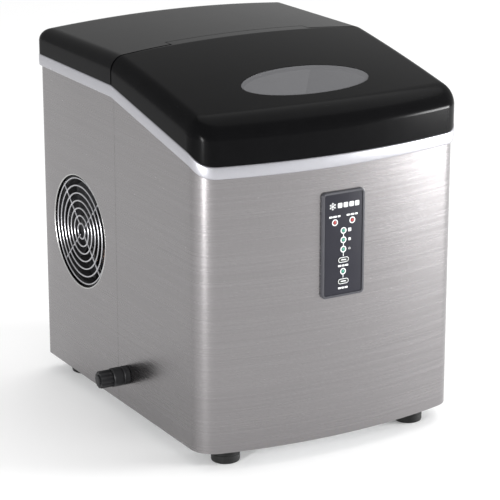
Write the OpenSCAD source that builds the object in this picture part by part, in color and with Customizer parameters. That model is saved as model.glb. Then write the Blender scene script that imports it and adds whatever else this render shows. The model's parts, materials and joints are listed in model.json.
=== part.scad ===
// Portable bullet-ice maker for a worktop: bowed steel casing, hinged lid with a window,
// rear cover, fan opening with a wire guard, drain with a screw cap, and the ice works inside.
// X runs to the right seen from the front, Y to the rear, Z up; the origin is on the floor
// under the middle of the casing.

/* [Casing] */
// Width of the steel casing
body_w = 286; // [250:1:344]
// Depth of the steel casing at its middle
body_d = 358.5; // [330:0.5:431]
// Radius of the bowed front, seen from above
bow_r = 520; // [420:5:900]
// Radius of the front upright corners
corner_r = 24; // [8:0.5:30]
// Radius of the rear upright corners
rear_r = 10; // [4:0.5:16]
// Thickness of the casing sheet
sheet_t = 1; // [0.6:0.1:2]
// Height of the feet
foot_h = 18; // [10:0.5:26]
// Radius of a foot
foot_r = 14; // [9:0.5:18]

/* [Trim and lid] */
// Height of the trim band's top over the rear half
band_rear_z = 342; // [320:1:400]
// Height of the trim band's top along the front
band_front_z = 299.5; // [280:0.5:312]
// Height of the trim band
band_h = 12; // [8:0.5:18]
// How far the trim band stands out from the casing
band_out = 3; // [1.5:0.5:6]
// Height of the lid and rear cover above the trim band, at their middle
roof_h = 34.5; // [30:0.5:44]
// Height of the lid's upright skirt above the trim band
skirt_h = 24; // [18:0.5:28]
// Radius of the roof's rounded shoulders
shoulder_r = 13; // [8:0.5:14]
// Wall thickness of the lid and the rear cover
shell_t = 3; // [2:0.1:4]
// Half length of the window
window_a = 68.5; // [50:0.5:80]
// Half width of the window
window_b = 31; // [22:0.5:38]
// Half width of the lid's hinge tongue
tongue_half = 78; // [70:1:90]
// Radius of the hinge pins
hinge_pin_r = 2; // [1.5:0.1:2.5]

/* [Control panel] */
// Width of the control panel
panel_w = 47; // [44:0.5:56]
// Height of the control panel
panel_h = 104; // [100:0.5:116]
// Height of the panel's middle above the floor
panel_z = 211.5; // [200:0.5:220]
// How far the panel stands out from the front
panel_out = 2.6; // [1.5:0.1:5]
// Width of a button
button_w = 12; // [8:0.5:14]
// Height of a button
button_h = 5.6; // [4:0.2:6]
// Radius of an indicator lamp
led_r = 1.6; // [1.2:0.1:2]

/* [Fan and cooling] */
// Radius of the fan opening in the casing
fan_open_r = 58.5; // [45:0.5:60]
// Height of the fan's axis above the floor
fan_z = 173; // [150:1:190]
// Distance of the fan's axis from the rear of the casing
fan_inset = 87; // [80:1:96]
// Number of fan blades
blade_count = 7; // [5:1:9]
// Radius of the compressor
compressor_r = 50; // [40:1:52]
// Height of the compressor
compressor_h = 128; // [100:1:140]

/* [Water and ice] */
// Outside width of the inner tank
tank_w = 244; // [210:1:250]
// Height of the tank's floor above the floor
tank_z = 38; // [34:1:46]
// Wall thickness of the tank
tank_t = 2.5; // [2:0.1:4]
// Depth of the ice basket, front to back
basket_d = 60; // [46:1:64]
// Height of the ice basket
basket_h = 104; // [80:1:112]
// Length of the water tray
tray_w = 112; // [108:1:130]
// Radius of an evaporator finger
finger_r = 4.5; // [3.5:0.1:5]
// Bore radius of the drain
drain_bore_r = 3.5; // [2.5:0.1:4]

/* [Hidden] */
// Clearances
loose = 0.3;          // between pieces that sit side by side
run = 0.06;           // radial, a shaft turning in a bore
swing = 0.4;          // between the lid and what it swings past
cover_gap = 0.4;      // lid above the trim band

// Outline seen from above
bow_y = -body_d / 2 + bow_r;
corner_x = body_w / 2 - corner_r;
corner_dy = sqrt(pow(bow_r - corner_r, 2) - pow(corner_x, 2));
corner_y = bow_y - corner_dy;
turn = atan2(corner_dy, corner_x);
inside_w = body_w - 2 * sheet_t;
rear_y = body_d / 2;

// Trim line seen from the side
seam_y = 9.5;
flat_y = -body_d / 2 + 11.5;
blend_y = -body_d / 2 + 37;
ramp_y = -body_d / 2 + 24.5;
ramp = (band_rear_z - band_front_z - 9) / (seam_y - ramp_y);
band_lip = 2;
base_t = 2;
floor_z = foot_h + base_t;

// Roof
roof_z = band_rear_z + roof_h;
crown_r = 1492;
cover_out = band_out - 0.5;
cover_half = body_w / 2 + cover_out;
roof_half = cover_half - shoulder_r;
crown_drop = roof_half * roof_half / (2 * crown_r);
hinge_y = 8.5;
hinge_drop = 8;
hinge_z = roof_z - hinge_drop;
tongue_y = hinge_y + 15.5;
tongue_sweep = sqrt(pow(tongue_y - hinge_y, 2) + pow(hinge_drop, 2)) + swing;
lid_back = hinge_y - 0.3;
cover_front = hinge_y + 2.3;
front_roof_z = band_front_z + 41.5;
lid_tilt = atan((roof_z - front_roof_z) / (hinge_y + body_d / 2 - 39));
window_y = -111;
lug_x = 57;
lug_w = 9;
lug_r = 5.5;
boss_x = lug_x + lug_w + 1;
boss_w = 9;
boss_r = 5;

// Control panel
panel_y = -body_d / 2 - panel_out;
panel_r = 7;
rim_t = 2.4;
fascia_w = panel_w - 2 * rim_t;
fascia_h = panel_h - 2 * rim_t;
fascia_t = 1.6;
fascia_y = panel_y + 0.6;
panel_top = panel_z + panel_h / 2;
red_x = 9.6;
red_drop = 30;
size_drops = [39, 48.2, 57.4];
select_drop = 67.6;
power_led_drop = 79.2;
power_drop = 88.8;
button_travel = 0.8;
button_proud = 0.7;
button_body = 3.4;
board_t = 1.6;
board_y = fascia_y + fascia_t + 5;
shell_back = 9;

// Fan, drain and machinery
fan_y = rear_y - fan_inset;
fan_x = -body_w / 2 + 5;
fan_side = 118;
fan_depth = 25;
hub_r = 17;
blade_r = 51;
wire_r = 1;
guard_rings = 7;
drain_y = -9;
drain_z = tank_z + 13;
collar_r = 9.5;
collar_len = 18;
cap_r = 8.5;
cap_len = 13;
drain_tip = 1.5;
nipple_r = 6;
nipple_len = 9.5;
seal_t = 2;
drain_travel = 4;
casing_x = -body_w / 2;
compressor_x = 62;
compressor_y = 96;
compressor_z = floor_z + 9;
condenser_x = fan_x + fan_depth + 8;
condenser_d = 26;
condenser_w = 112;
condenser_h = 120;
fin_count = 22;
fin_t = 0.8;
tube_r = 3.2;

// Tank, ice works
tank_back = 2;
tank_front = -152;
tank_in_x = tank_w / 2 - tank_t;
tank_in_back = tank_back - tank_t;
tank_in_front = tank_front + tank_t;
deck_margin = 3;
shelf_z = 282;
shelf_t = 4;
basket_x = tank_in_x - 19.5;
basket_front = tank_in_front + 6;
basket_back = basket_front + basket_d;
basket_wall = 2;
rim_w = 13;
basket_back_h = basket_h - 82;
works_ledge_z = 309;
tray_axis_y = -30;
tray_axis_z = 275;
tray_front = tray_axis_y - 42;
tray_back = tray_axis_y + 2;
tray_h = 23;
tray_t = 2;
shaft_r = 3;
side_x = tray_w / 2 + 4;
side_t = 4;
finger_len = 38;
finger_pitch = 22;
row_y = [tray_axis_y - 28, tray_axis_y - 12];
header_z = 300;
header_r = 5.5;
motor_x = side_x + side_t + 2;
copper_r = 2.6;

// ---- Outlines and shared shapes ----

function arc(c, r, a0, a1, n) = [for (i = [0:n]) c + r * [cos(a0 + (a1 - a0) * i / n),
    sin(a0 + (a1 - a0) * i / n)]];

// Casing outline from above, grown by g: bowed front, rounded corners
// bulge pushes only the bow out, for a form whose front is turned to its true curve
function plan(g, bulge = 0) = concat(
    arc([0, bow_y], bow_r + g + bulge, -180 + turn, -turn, 20),
    arc([corner_x, corner_y], corner_r + g, -turn + turn / 6, 0, 5),
    arc([body_w / 2 - rear_r, rear_y - rear_r], rear_r + g, 0, 90, 5),
    arc([rear_r - body_w / 2, rear_y - rear_r], rear_r + g, 90, 180, 5),
    arc([-corner_x, corner_y], corner_r + g, 180, 180 + turn - turn / 6, 5));

// Height of the trim band's top at a place from front to back
function ramp_z(y) = band_rear_z - ramp * (seam_y - y);
function ease(t) = t * t * (3 - 2 * t);
function band_z(y) = y >= seam_y ? band_rear_z
    : y <= flat_y ? band_front_z
    : y >= blend_y ? ramp_z(y)
    : band_front_z + (ramp_z(y) - band_front_z) * ease((y - flat_y) / (blend_y - flat_y));
line_ys = concat([-250], [for (i = [0:8]) flat_y + (blend_y - flat_y) * i / 8], [seam_y, 250]);

module outline(g, z0, z1, bulge = 0) translate([0, 0, z0]) linear_extrude(z1 - z0)
    polygon(plan(g, bulge));

// A slab that follows the trim line from dz0 to dz1 above the band's top
module follow(dz0, dz1) rotate([90, 0, 90]) linear_extrude(400, center = true)
    polygon(concat([for (y = line_ys) [y, band_z(y) + dz1]],
        [for (i = [len(line_ys) - 1:-1:0]) [line_ys[i], band_z(line_ys[i]) + dz0]]));

module below(dz) rotate([90, 0, 90]) linear_extrude(400, center = true)
    polygon(concat([for (y = line_ys) [y, band_z(y) + dz]], [[250, -20], [-250, -20]]));

module span(x0, x1, y0, y1, z0, z1) translate([x0, y0, z0]) cube([x1 - x0, y1 - y0, z1 - z0]);

module bar_x(x0, x1, y, z, r) translate([x0, y, z]) rotate([0, 90, 0]) cylinder(h = x1 - x0, r = r);

module bar_y(x, y0, y1, z, r) translate([x, y0, z]) rotate([-90, 0, 0]) cylinder(h = y1 - y0, r = r);

module bar_z(x, y, z0, z1, r) translate([x, y, z0]) cylinder(h = z1 - z0, r = r);

// Round tube through a list of places, with a bead where it turns
module tube(path, r) {
    for (i = [0:len(path) - 2]) {
        d = path[i + 1] - path[i];
        translate(path[i]) rotate([0, acos(d[2] / norm(d)), atan2(d[1], d[0])])
            cylinder(h = norm(d), r = r);
    }
    for (i = [1:1:len(path) - 2]) translate(path[i]) sphere(r = r * 1.1);
}

module sides() for (s = [-1, 1]) scale([s, 1, 1]) children();

$fn = 64;

// ---- Casing ----

module casing_shell() intersection() {
    difference() {
        outline(0, foot_h, 400);
        outline(-sheet_t, foot_h - 1, 401);
    }
    below(-band_lip - loose);
}

module front_casing() color("silver") difference() {
    casing_shell();
    span(-200, 200, seam_y - loose, 250, 0, 400);
    span(-panel_w / 2 + 2, panel_w / 2 - 2, -250, -100, panel_z - panel_h / 2 + 2, panel_top - 2);
    bar_x(casing_x - 10, casing_x + 10, drain_y, drain_z, nipple_r + 1.5);
}

module rear_casing() color("silver") difference() {
    casing_shell();
    span(-200, 200, -250, seam_y + loose, 0, 400);
    bar_x(casing_x - 10, casing_x + 10, fan_y, fan_z, fan_open_r);
    for (row = [0:1:9], column = [-1, 0, 1])
        span(column * 62 - 24, column * 62 + 24, rear_y - 10, rear_y + 10,
            120 + row * 16, 125 + row * 16);
    span(inlet_x - 14, inlet_x + 14, rear_y - 10, rear_y + 10, inlet_z - 10, inlet_z + 10);
}

foot_spots = [[body_w / 2 - 38, -body_d / 2 + 39], [body_w / 2 - 30, rear_y - 31]];

module at_feet() for (side = [-1, 1], spot = foot_spots) translate([side * spot[0], spot[1], 0]) children();

module base_plate() color("dimgray") difference() {
    outline(-sheet_t - loose, foot_h, floor_z);
    at_feet() translate([0, 0, foot_h - 1]) cylinder(h = 10, r = 2.2);
    for (x = [-70:20:-10], y = [40:30:130]) bar_z(x, y, foot_h - 1, floor_z + 1, 4);
    at_grommets() translate([0, 0, foot_h - 1]) cylinder(h = 10, r = bolt_r + loose);
}

module feet() color("black") at_feet() difference() {
    cylinder(h = foot_h, r = foot_r);
    translate([0, 0, -1]) cylinder(h = 7, r = 6);
    translate([0, 0, -1]) cylinder(h = foot_h + 2, r = 2.2);
}

module foot_screws() color("lightgray") at_feet() translate([0, 0, 3.5]) {
    cylinder(h = 2.5, r = 4);
    cylinder(h = foot_h, r = 2);
}

module trim_band() color("gainsboro") difference() {
    intersection() {
        outline(band_out, foot_h, 400);
        follow(-band_h, 0);
    }
    intersection() {
        outline(loose, foot_h - 1, 401);
        below(-band_lip);
    }
    outline(-sheet_t - 2.5, foot_h - 1, 401);
}

deck_x = tank_in_x - deck_margin;
deck_front = tank_in_front + deck_margin;
deck_back = tank_in_back - deck_margin;

module top_deck() color("darkslategray") difference() {
    intersection() {
        outline(-sheet_t - 2.5 - loose, foot_h, 400);
        follow(-band_lip, 0);
    }
    span(-deck_x, deck_x, deck_front, deck_back, 0, 400);
    for (x = [-100, 100]) bar_z(x, rear_y - 20, 300, 400, 2.2);
}

// ---- Lid and rear cover ----

// Cross-section of the roof: a shallow crown, a shoulder and upright sides
module roof_section(depth) {
    steps = 12;
    polygon(concat(
        [for (i = [0:steps]) let (x = roof_half * (2 * i / steps - 1)) [x, -x * x / (2 * crown_r)]],
        arc([roof_half, -crown_drop - shoulder_r], shoulder_r, 75, 12, 5),
        [[cover_half + 1, -crown_drop - shoulder_r - 2], [cover_half + 1, -depth],
            [-cover_half - 1, -depth], [-cover_half - 1, -crown_drop - shoulder_r - 2]],
        arc([-roof_half, -crown_drop - shoulder_r], shoulder_r, 168, 105, 5)));
}

// Solid form under the roof, its top lowered by drop, its sides moved in by inset
module lid_form(drop, inset) intersection() {
    outline(cover_out - inset, foot_h, 450, 2);
    translate([0, hinge_y, roof_z - drop]) rotate([lid_tilt, 0, 0])
        rotate([90, 0, 0]) linear_extrude(500, center = true) roof_section(200);
    translate([0, bow_y, 0]) rotate_extrude($fn = 240) polygon(concat(
        [[0, 0], [bow_r + cover_out - inset, 0]],
        arc([bow_r + cover_out - inset - nose_r, front_edge_z - drop], nose_r, 0, 70, 7),
        [[bow_r + cover_out - inset - nose_r * (1 - cos(70)) - 60,
            front_edge_z - drop + nose_r * sin(70) + 60 / tan(70)], [0, 500]]));
}
nose_r = 24;
front_edge_z = band_front_z + skirt_h;

module cover_form(drop, inset) intersection() {
    outline(cover_out - inset, foot_h, 450);
    translate([0, hinge_y, roof_z - drop]) rotate([-cover_tilt, 0, 0])
        rotate([90, 0, 0]) linear_extrude(500, center = true) roof_section(200);
    rotate([90, 0, 90]) linear_extrude(400, center = true) polygon(concat([[-60, 0], [-60, 500],
        [rear_y + cover_out - shoulder_r, 500]],
        arc([rear_y + cover_out - shoulder_r, roof_z - rear_fall - shoulder_r - drop],
            shoulder_r, 80, 12, 5),
        [[rear_y + cover_out + 1, roof_z - rear_fall - shoulder_r - drop - 2],
            [rear_y + cover_out + 1, 0]]));
}
cover_tilt = 0.7;
rear_fall = (rear_y - shoulder_r - hinge_y) * tan(cover_tilt);

module above_band(gap) follow(gap, 200);

module window_prism(grow) translate([0, window_y, 0]) linear_extrude(500) polygon([for (i = [0:59])
    [(window_a + grow) * cos(i * 6), (window_b + grow) * sin(i * 6)]]);

module lid() color("#1b1b1d") difference() {
    union() {
        difference() {
            intersection() {
                lid_form(0, 0);
                above_band(cover_gap);
                span(-200, 200, -250, lid_back, 0, 500);
            }
            intersection() {
                lid_form(shell_t, shell_t);
                span(-200, 200, -250, lid_back - shell_t, 0, 500);
            }
            window_prism(loose);
        }
        intersection() {
            difference() {
                cover_form(0, 0);
                cover_form(shell_t, 0);
            }
            span(-tongue_half, tongue_half, lid_back - 1, tongue_y, 0, 500);
        }
        sides() intersection() {
            cover_form(1, 0);
            union() {
                bar_x(lug_x, lug_x + lug_w, hinge_y, hinge_z, lug_r);
                span(lug_x, lug_x + lug_w, hinge_y - lug_r, hinge_y + lug_r, hinge_z, roof_z);
            }
        }
    }
    sides() bar_x(lug_x - 5, lug_x + lug_w + 5, hinge_y, hinge_z, hinge_pin_r + run);
    sides() bar_x(boss_x - 0.7, boss_x + boss_w + 0.7, hinge_y, hinge_z, boss_r + swing);
}

module lid_window() color("lightslategray") union() {
    difference() {
        intersection() {
            lid_form(0, 0);
            window_prism(0);
        }
        lid_form(shell_t + 0.2, 0);
    }
    difference() {
        intersection() {
            lid_form(shell_t + 0.2, 0);
            window_prism(3);
        }
        lid_form(shell_t + 1.8, 0);
    }
}

module hinge_pins() color("lightgray")
    sides() bar_x(lug_x, boss_x + boss_w, hinge_y, hinge_z, hinge_pin_r);

module hinge_cut(x, r) bar_x(-x, x, hinge_y, hinge_z, r);

// Room for the lid's rear edge to swing in: a round about the hinge line that follows the crown
module hinge_trough(grow) translate([0, hinge_y, hinge_z]) rotate([0, 90, 0])
    rotate_extrude($fn = 96) polygon(concat([[0, -roof_half - 8]],
        [for (i = [-7:7]) let (x = (roof_half + 1.5) * i / 7)
            [swing + 1.2 * (hinge_drop - x * x / (2 * crown_r)) + grow, x]],
        [[0.5 + grow, roof_half + 8], [0, roof_half + 8]]));

module rear_cover() color("#1b1b1d") difference() {
    union() {
        difference() {
            intersection() {
                cover_form(0, 0);
                above_band(cover_gap);
                span(-200, 200, cover_front, 250, 0, 500);
            }
            intersection() {
                cover_form(shell_t, shell_t);
                span(-200, 200, cover_front + shell_t, 250, 0, 500);
            }
            hinge_trough(0);
            hinge_cut(tongue_half + swing, tongue_sweep);
        }
        intersection() {
            cover_form(0.5, 0.5);
            span(-200, 200, cover_front, 250, 0, 500);
            difference() {
                union() {
                    hinge_trough(2);
                    hinge_cut(tongue_half + swing + 2, tongue_sweep + 2);
                }
                hinge_trough(0);
                hinge_cut(tongue_half + swing, tongue_sweep);
            }
        }
        sides() {
            bar_x(boss_x, boss_x + boss_w, hinge_y, hinge_z, boss_r);
            span(boss_x, boss_x + boss_w, hinge_y + 0.4, hinge_y + 3.2,
                hinge_z - tongue_sweep - 1, hinge_z);
        }
        for (x = [-100, 100]) bar_z(x, rear_y - 20, band_rear_z + cover_gap, roof_z - 8, 5);
    }
    sides() bar_x(boss_x - 1, boss_x + boss_w + 1, hinge_y, hinge_z, hinge_pin_r);
    for (x = [-100, 100]) bar_z(x, rear_y - 20, 300, roof_z - 14, 1.6);
}

module cover_screws() color("lightgray") for (x = [-100, 100]) {
    bar_z(x, rear_y - 20, band_rear_z - 4.5, band_rear_z - band_lip, 3.5);
    bar_z(x, rear_y - 20, band_rear_z - band_lip, roof_z - 16, 1.6);
}

// ---- Control panel ----

function pill(w, h, r) = concat(
    arc([w / 2 - r, r - h / 2], r, -90, 0, 6), arc([w / 2 - r, h / 2 - r], r, 0, 90, 6),
    arc([r - w / 2, h / 2 - r], r, 90, 180, 6), arc([r - w / 2, r - h / 2], r, 180, 270, 6));

// Rounded plate standing upright: outline in X and Z, thickness along Y
module plate(w, h, r, y0, y1, z) translate([0, y1, z]) rotate([90, 0, 0])
    linear_extrude(y1 - y0) polygon(pill(w, h, r));

module panel_bezel() color("#2b2d33") difference() {
    union() {
        plate(panel_w, panel_h, panel_r, panel_y, -body_d / 2 - 0.05, panel_z);
        plate(panel_w - 5, panel_h - 5, panel_r - 2, -body_d / 2 - 1, -body_d / 2 + shell_back,
            panel_z);
    }
    plate(fascia_w + 2 * 0.15, fascia_h + 0.3, panel_r - rim_t, panel_y - 1, fascia_y + fascia_t + 0.1,
        panel_z);
    plate(fascia_w - 3, fascia_h - 3, panel_r - rim_t - 1.4, panel_y, -body_d / 2 + shell_back + 1,
        panel_z);
    bow_clear();
}

// The steel front's bow passes through the bezel's edge, so the bezel's back follows it
module bow_clear() difference() {
    translate([0, 0, panel_z - panel_h]) outline(0.05, 0, 2 * panel_h);
    span(-(panel_w - 5) / 2, (panel_w - 5) / 2, -250, 250, panel_z - panel_h / 2 + 2.5,
        panel_top - 2.5);
}

module panel_fascia() color("#262931") difference() {
    plate(fascia_w, fascia_h, panel_r - rim_t, fascia_y, fascia_y + fascia_t, panel_z);
    at_lamps() bar_y(0, fascia_y - 1, fascia_y + 5, 0, led_r + 0.1);
    for (drop = [select_drop, power_drop]) plate(button_w + 2 * loose, button_h + 2 * loose,
        button_h / 2 + loose - 0.05, fascia_y - 1, fascia_y + 5, panel_top - drop);
}

module at_green() for (drop = concat(size_drops, [power_led_drop]))
    translate([0, 0, panel_top - drop]) children();

module at_red() for (x = [-red_x, red_x]) translate([x, 0, panel_top - red_drop]) children();

module at_lamps() {
    at_green() children();
    at_red() children();
}

module lamp() bar_y(0, fascia_y - 0.2, board_y, 0, led_r);

module red_lamps() color("red") at_red() lamp();

module green_lamps() color("green") at_green() lamp();

module button(drop) plate(button_w, button_h, button_h / 2 - 0.05, fascia_y - button_proud,
    fascia_y - button_proud + button_body, panel_top - drop);

module select_button() color("#33363f") button(select_drop);

module power_button() color("#33363f") button(power_drop);

module display_board() color("darkgreen") union() {
    plate(fascia_w - 4, fascia_h - 4, 2, board_y, board_y + board_t, panel_z);
    for (drop = [select_drop, power_drop]) span(-3, 3,
        fascia_y - button_proud + button_body + button_travel + 0.3, board_y,
        panel_top - drop - 2, panel_top - drop + 2);
}

// ---- Fan and cooling ----

module guard_wire(r) translate([casing_x + sheet_t + wire_r + 0.1, fan_y, fan_z]) rotate([0, 90, 0])
    rotate_extrude($fn = 96) translate([r, 0]) circle(r = wire_r, $fn = 24);

guard_r = fan_open_r - 3.8;
ring_step = (guard_r - 8) / (guard_rings - 1);
spoke_len = blade_r + 19.3;

module fan_guard() color("silver") union() {
    for (i = [0:guard_rings - 1]) guard_wire(8 + i * ring_step);
    for (a = [45, 135]) translate([fan_x - wire_r - 0.2, fan_y, fan_z]) rotate([a, 0, 0])
        translate([0, 0, -spoke_len]) cylinder(h = 2 * spoke_len, r = wire_r);
}

module at_fan_corners(x) for (a = [45:90:315]) translate([x, fan_y, fan_z]) rotate([a, 0, 0])
    translate([0, 0, spoke_len + 1.7]) children();

module guard_screws() color("lightgray") at_fan_corners(fan_x) rotate([0, 90, 0]) {
    translate([0, 0, -2 * wire_r - 1.7]) cylinder(h = 1.4, r = 3.2);
    translate([0, 0, -2 * wire_r - 0.5]) cylinder(h = 10, r = 1.5);
}

module fan_frame() color("#202022") difference() {
    translate([fan_x, fan_y - fan_side / 2, fan_z - fan_side / 2]) cube([fan_depth, fan_side, fan_side]);
    bar_x(fan_x - 1, fan_x + fan_depth + 1, fan_y, fan_z, blade_r + 2.5);
    at_fan_corners(fan_x - 1) rotate([0, 90, 0]) cylinder(h = 14, r = 1.6);
}

module fan_motor() color("#2a2a2c") union() {
    bar_x(fan_x + fan_depth - 4, fan_x + fan_depth, fan_y, fan_z, hub_r);
    bar_x(fan_x + 6, fan_x + fan_depth - 4, fan_y, fan_z, 2.5);
    for (a = [0:90:270]) translate([fan_x + fan_depth - 3.5, fan_y, fan_z]) rotate([a + 20, 0, 0])
        translate([0, -2, hub_r - 6]) cube([3, 4, blade_r + 8.4 - hub_r]);
}

module fan_rotor() color("#161618") difference() {
    union() {
        bar_x(fan_x + 3, fan_x + fan_depth - 5, fan_y, fan_z, hub_r);
        for (i = [0:blade_count - 1]) translate([fan_x + 11.5, fan_y, fan_z])
            rotate([i * 360 / blade_count, 0, 0]) rotate([0, 0, 38])
                translate([-1, -11, hub_r - 2]) cube([2, 22, blade_r - hub_r - 1]);
    }
    bar_x(fan_x, fan_x + fan_depth, fan_y, fan_z, 2.5 + run);
}

module condenser_fins() color("gainsboro") difference() {
    for (i = [0:fin_count - 1]) {
        z = fan_z - condenser_h / 2 + i * (condenser_h - fin_t) / (fin_count - 1);
        span(condenser_x, condenser_x + condenser_d, fan_y - condenser_w / 2, fan_y + condenser_w / 2,
            z, z + fin_t);
    }
    at_condenser_tubes() translate([0, 0, fan_z - 100]) cylinder(h = 200, r = tube_r);
}

condenser_ys = [for (i = [0:5]) fan_y - 45 + i * 18];

module at_condenser_tubes() for (y = condenser_ys) translate([condenser_x + condenser_d / 2, y, 0])
    children();

module condenser_tube() color("peru") union() {
    at_condenser_tubes() translate([0, 0, fan_z - condenser_h / 2 - 5])
        cylinder(h = condenser_h + 10, r = tube_r);
    for (i = [0:4]) translate([condenser_x + condenser_d / 2, (condenser_ys[i] + condenser_ys[i + 1]) / 2,
        fan_z + (i % 2 == 0 ? 1 : -1) * (condenser_h / 2 + 5)]) rotate([i % 2 == 0 ? 90 : -90, 0, 0])
        rotate([0, 90, 0]) bend(9);
}

// Half ring of tube
module bend(r) rotate_extrude(angle = 180, $fn = 48) translate([r, 0]) circle(r = tube_r, $fn = 32);

grommet_turn = [90, 210, 330];
bolt_r = 3;

mount_circle_r = compressor_r - 4;

module at_grommets() for (a = grommet_turn) translate([compressor_x + mount_circle_r * cos(a),
    compressor_y + mount_circle_r * sin(a), 0]) children();

can_r = compressor_r - 13;

module compressor() color("#151517") difference() {
    union() {
        bar_z(compressor_x, compressor_y, compressor_z + 3, compressor_z + compressor_h - 14, can_r);
        translate([compressor_x, compressor_y, compressor_z + compressor_h - 14])
            cylinder(h = 14, r1 = can_r, r2 = can_r - 14);
        bar_z(compressor_x, compressor_y, compressor_z, compressor_z + 3, compressor_r + 3);
        bar_z(compressor_x, compressor_y, compressor_z + 60, compressor_z + 64, can_r + 3);
    }
    at_grommets() translate([0, 0, compressor_z - 1]) cylinder(h = 5, r = 5);
}

module compressor_grommets() color("#101010") at_grommets() difference() {
    union() {
        translate([0, 0, floor_z]) cylinder(h = 9, r = 7);
        translate([0, 0, floor_z]) cylinder(h = 12, r = 5);
    }
    translate([0, 0, floor_z - 1]) cylinder(h = 20, r = bolt_r + loose);
}

module compressor_bolts() color("lightgray") at_grommets() {
    translate([0, 0, foot_h - 3]) cylinder(h = 3, r = 6);
    translate([0, 0, foot_h - 3]) cylinder(h = 22, r = bolt_r);
    translate([0, 0, floor_z + 12.2]) cylinder(h = 3, r = 6.5);
}

module terminal_cover() color("#222224")
    span(compressor_x + can_r + 0.5, compressor_x + can_r + 20, compressor_y - 18,
        compressor_y + 18, compressor_z + 14, compressor_z + 52);

pipe_z = fan_z - condenser_h / 2 - 5;

module discharge_pipe() color("peru") tube([
    [compressor_x - can_r + 17, compressor_y, compressor_z + compressor_h],
    [compressor_x - can_r + 17, compressor_y, compressor_z + compressor_h + 20],
    [compressor_x - 60, compressor_y + 30, compressor_z + compressor_h + 20],
    [condenser_x + condenser_d + 16, condenser_ys[5], pipe_z - 12],
    [condenser_x + condenser_d / 2, condenser_ys[5], pipe_z - 12],
    [condenser_x + condenser_d / 2, condenser_ys[5], pipe_z]], copper_r);

module suction_pipe() color("peru") tube([
    [compressor_x + 10, compressor_y - 12, compressor_z + compressor_h],
    [compressor_x + 10, compressor_y - 12, header_z],
    [compressor_x - 10, 20, header_z],
    [finger_pitch * 1.5, 20, header_z],
    [finger_pitch * 1.5, row_y[1] + header_r, header_z]], copper_r);

module hot_gas_valve() color("goldenrod") union() {
    bar_z(-25, 40, 236, 250, 8);
    span(-38, -12, 28, 52, 250, 276);
    bar_z(-25, 40, 276, 282, 4);
}

module filter_drier() color("peru") union() {
    bar_z(-22, rear_y - 28, 70, 150, 9);
    translate([-22, rear_y - 28, 150]) cylinder(h = 14, r1 = 9, r2 = copper_r);
    translate([-22, rear_y - 28, 56]) cylinder(h = 14, r1 = copper_r, r2 = 9);
}

board_x = inside_w / 2 - 14;

module main_board() color("darkgreen") union() {
    span(board_x - board_t, board_x, 34, 124, 196, 300);
    span(board_x - 18, board_x - board_t, 44, 68, 210, 240);
    span(board_x - 24, board_x - board_t, 84, 112, 212, 246);
    for (y = [44, 58, 72]) bar_x(board_x - 22, board_x - board_t, y, 270, 5);
}

module board_posts() color("gray") for (y = [40, 118], z = [202, 294])
    bar_x(board_x, inside_w / 2, y, z, 3);

inlet_x = -72;
inlet_z = 56;

module power_inlet() color("#19191b") difference() {
    union() {
        span(inlet_x - 18, inlet_x + 18, rear_y, rear_y + 2.5, inlet_z - 13, inlet_z + 13);
        span(inlet_x - 13.5, inlet_x + 13.5, rear_y - 18, rear_y + 1, inlet_z - 9.5, inlet_z + 9.5);
    }
    span(inlet_x - 12, inlet_x + 12, rear_y - 16, rear_y + 5, inlet_z - 8, inlet_z + 8);
    for (x = [-6, 0, 6]) bar_y(inlet_x + x, rear_y - 19, rear_y - 15, inlet_z + (x == 0 ? 3 : -2), 1.5);
}

// ---- Drain ----

collar_end = casing_x - collar_len;

module drain_spigot() color("#151517") difference() {
    union() {
        bar_x(collar_end, casing_x, drain_y, drain_z, collar_r);
        bar_x(collar_end - nipple_len, casing_x + 14, drain_y, drain_z, nipple_r);
    }
    bar_x(collar_end - 20, casing_x + 20, drain_y, drain_z, drain_bore_r);
}

module drain_nut() color("#222224") difference() {
    bar_x(casing_x + sheet_t + 0.1, casing_x + sheet_t + 5, drain_y, drain_z, 10, $fn = 6);
    bar_x(casing_x, casing_x + 10, drain_y, drain_z, nipple_r);
}

cap_end = collar_end - 0.4 - cap_len;
seat_x = collar_end - nipple_len - seal_t - 0.1;

module drain_seal() color("saddlebrown") bar_x(seat_x, seat_x + seal_t, drain_y, drain_z,
    nipple_r - 0.2);

module drain_cap() color("#151517") difference() {
    union() {
        bar_x(cap_end, collar_end - 0.4, drain_y, drain_z, cap_r - 0.9);
        for (i = [0:11]) translate([cap_end, drain_y, drain_z]) rotate([i * 30, 0, 0])
            translate([0, 0, cap_r - 1.4]) rotate([0, 90, 0]) cylinder(h = cap_len, r = 1.4);
        bar_x(cap_end - drain_tip, cap_end, drain_y, drain_z, 5);
    }
    bar_x(seat_x - 0.02, collar_end, drain_y, drain_z, nipple_r + 0.35);
}

module drain_hose() color("gray") difference() {
    bar_x(casing_x + 6, -tank_w / 2, drain_y, drain_z, nipple_r + 2);
    bar_x(casing_x, casing_x + 14.2, drain_y, drain_z, nipple_r);
    bar_x(casing_x, -tank_w / 2 + 1, drain_y, drain_z, drain_bore_r);
}

// ---- Tank and ice works ----

module inner_tank() color("whitesmoke") difference() {
    intersection() {
        span(-tank_w / 2, tank_w / 2, tank_front, tank_back, tank_z, 400);
        below(-band_lip - 0.1);
    }
    span(-tank_in_x, tank_in_x, tank_in_front, tank_in_back, tank_z + tank_t, 400);
    bar_x(-tank_w / 2 - 1, -tank_in_x + 1, drain_y, drain_z, drain_bore_r);
    bar_y(pump_x, tank_in_back - 1, tank_back + 1, pump_z, 4);
    bar_y(hose_x, tank_in_back - 1, tank_back + 1, hose_z, hose_r + loose);
    bar_y(finger_pitch * 1.5, tank_in_back - 1, tank_back + 1, header_z, copper_r + loose);
}

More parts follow.
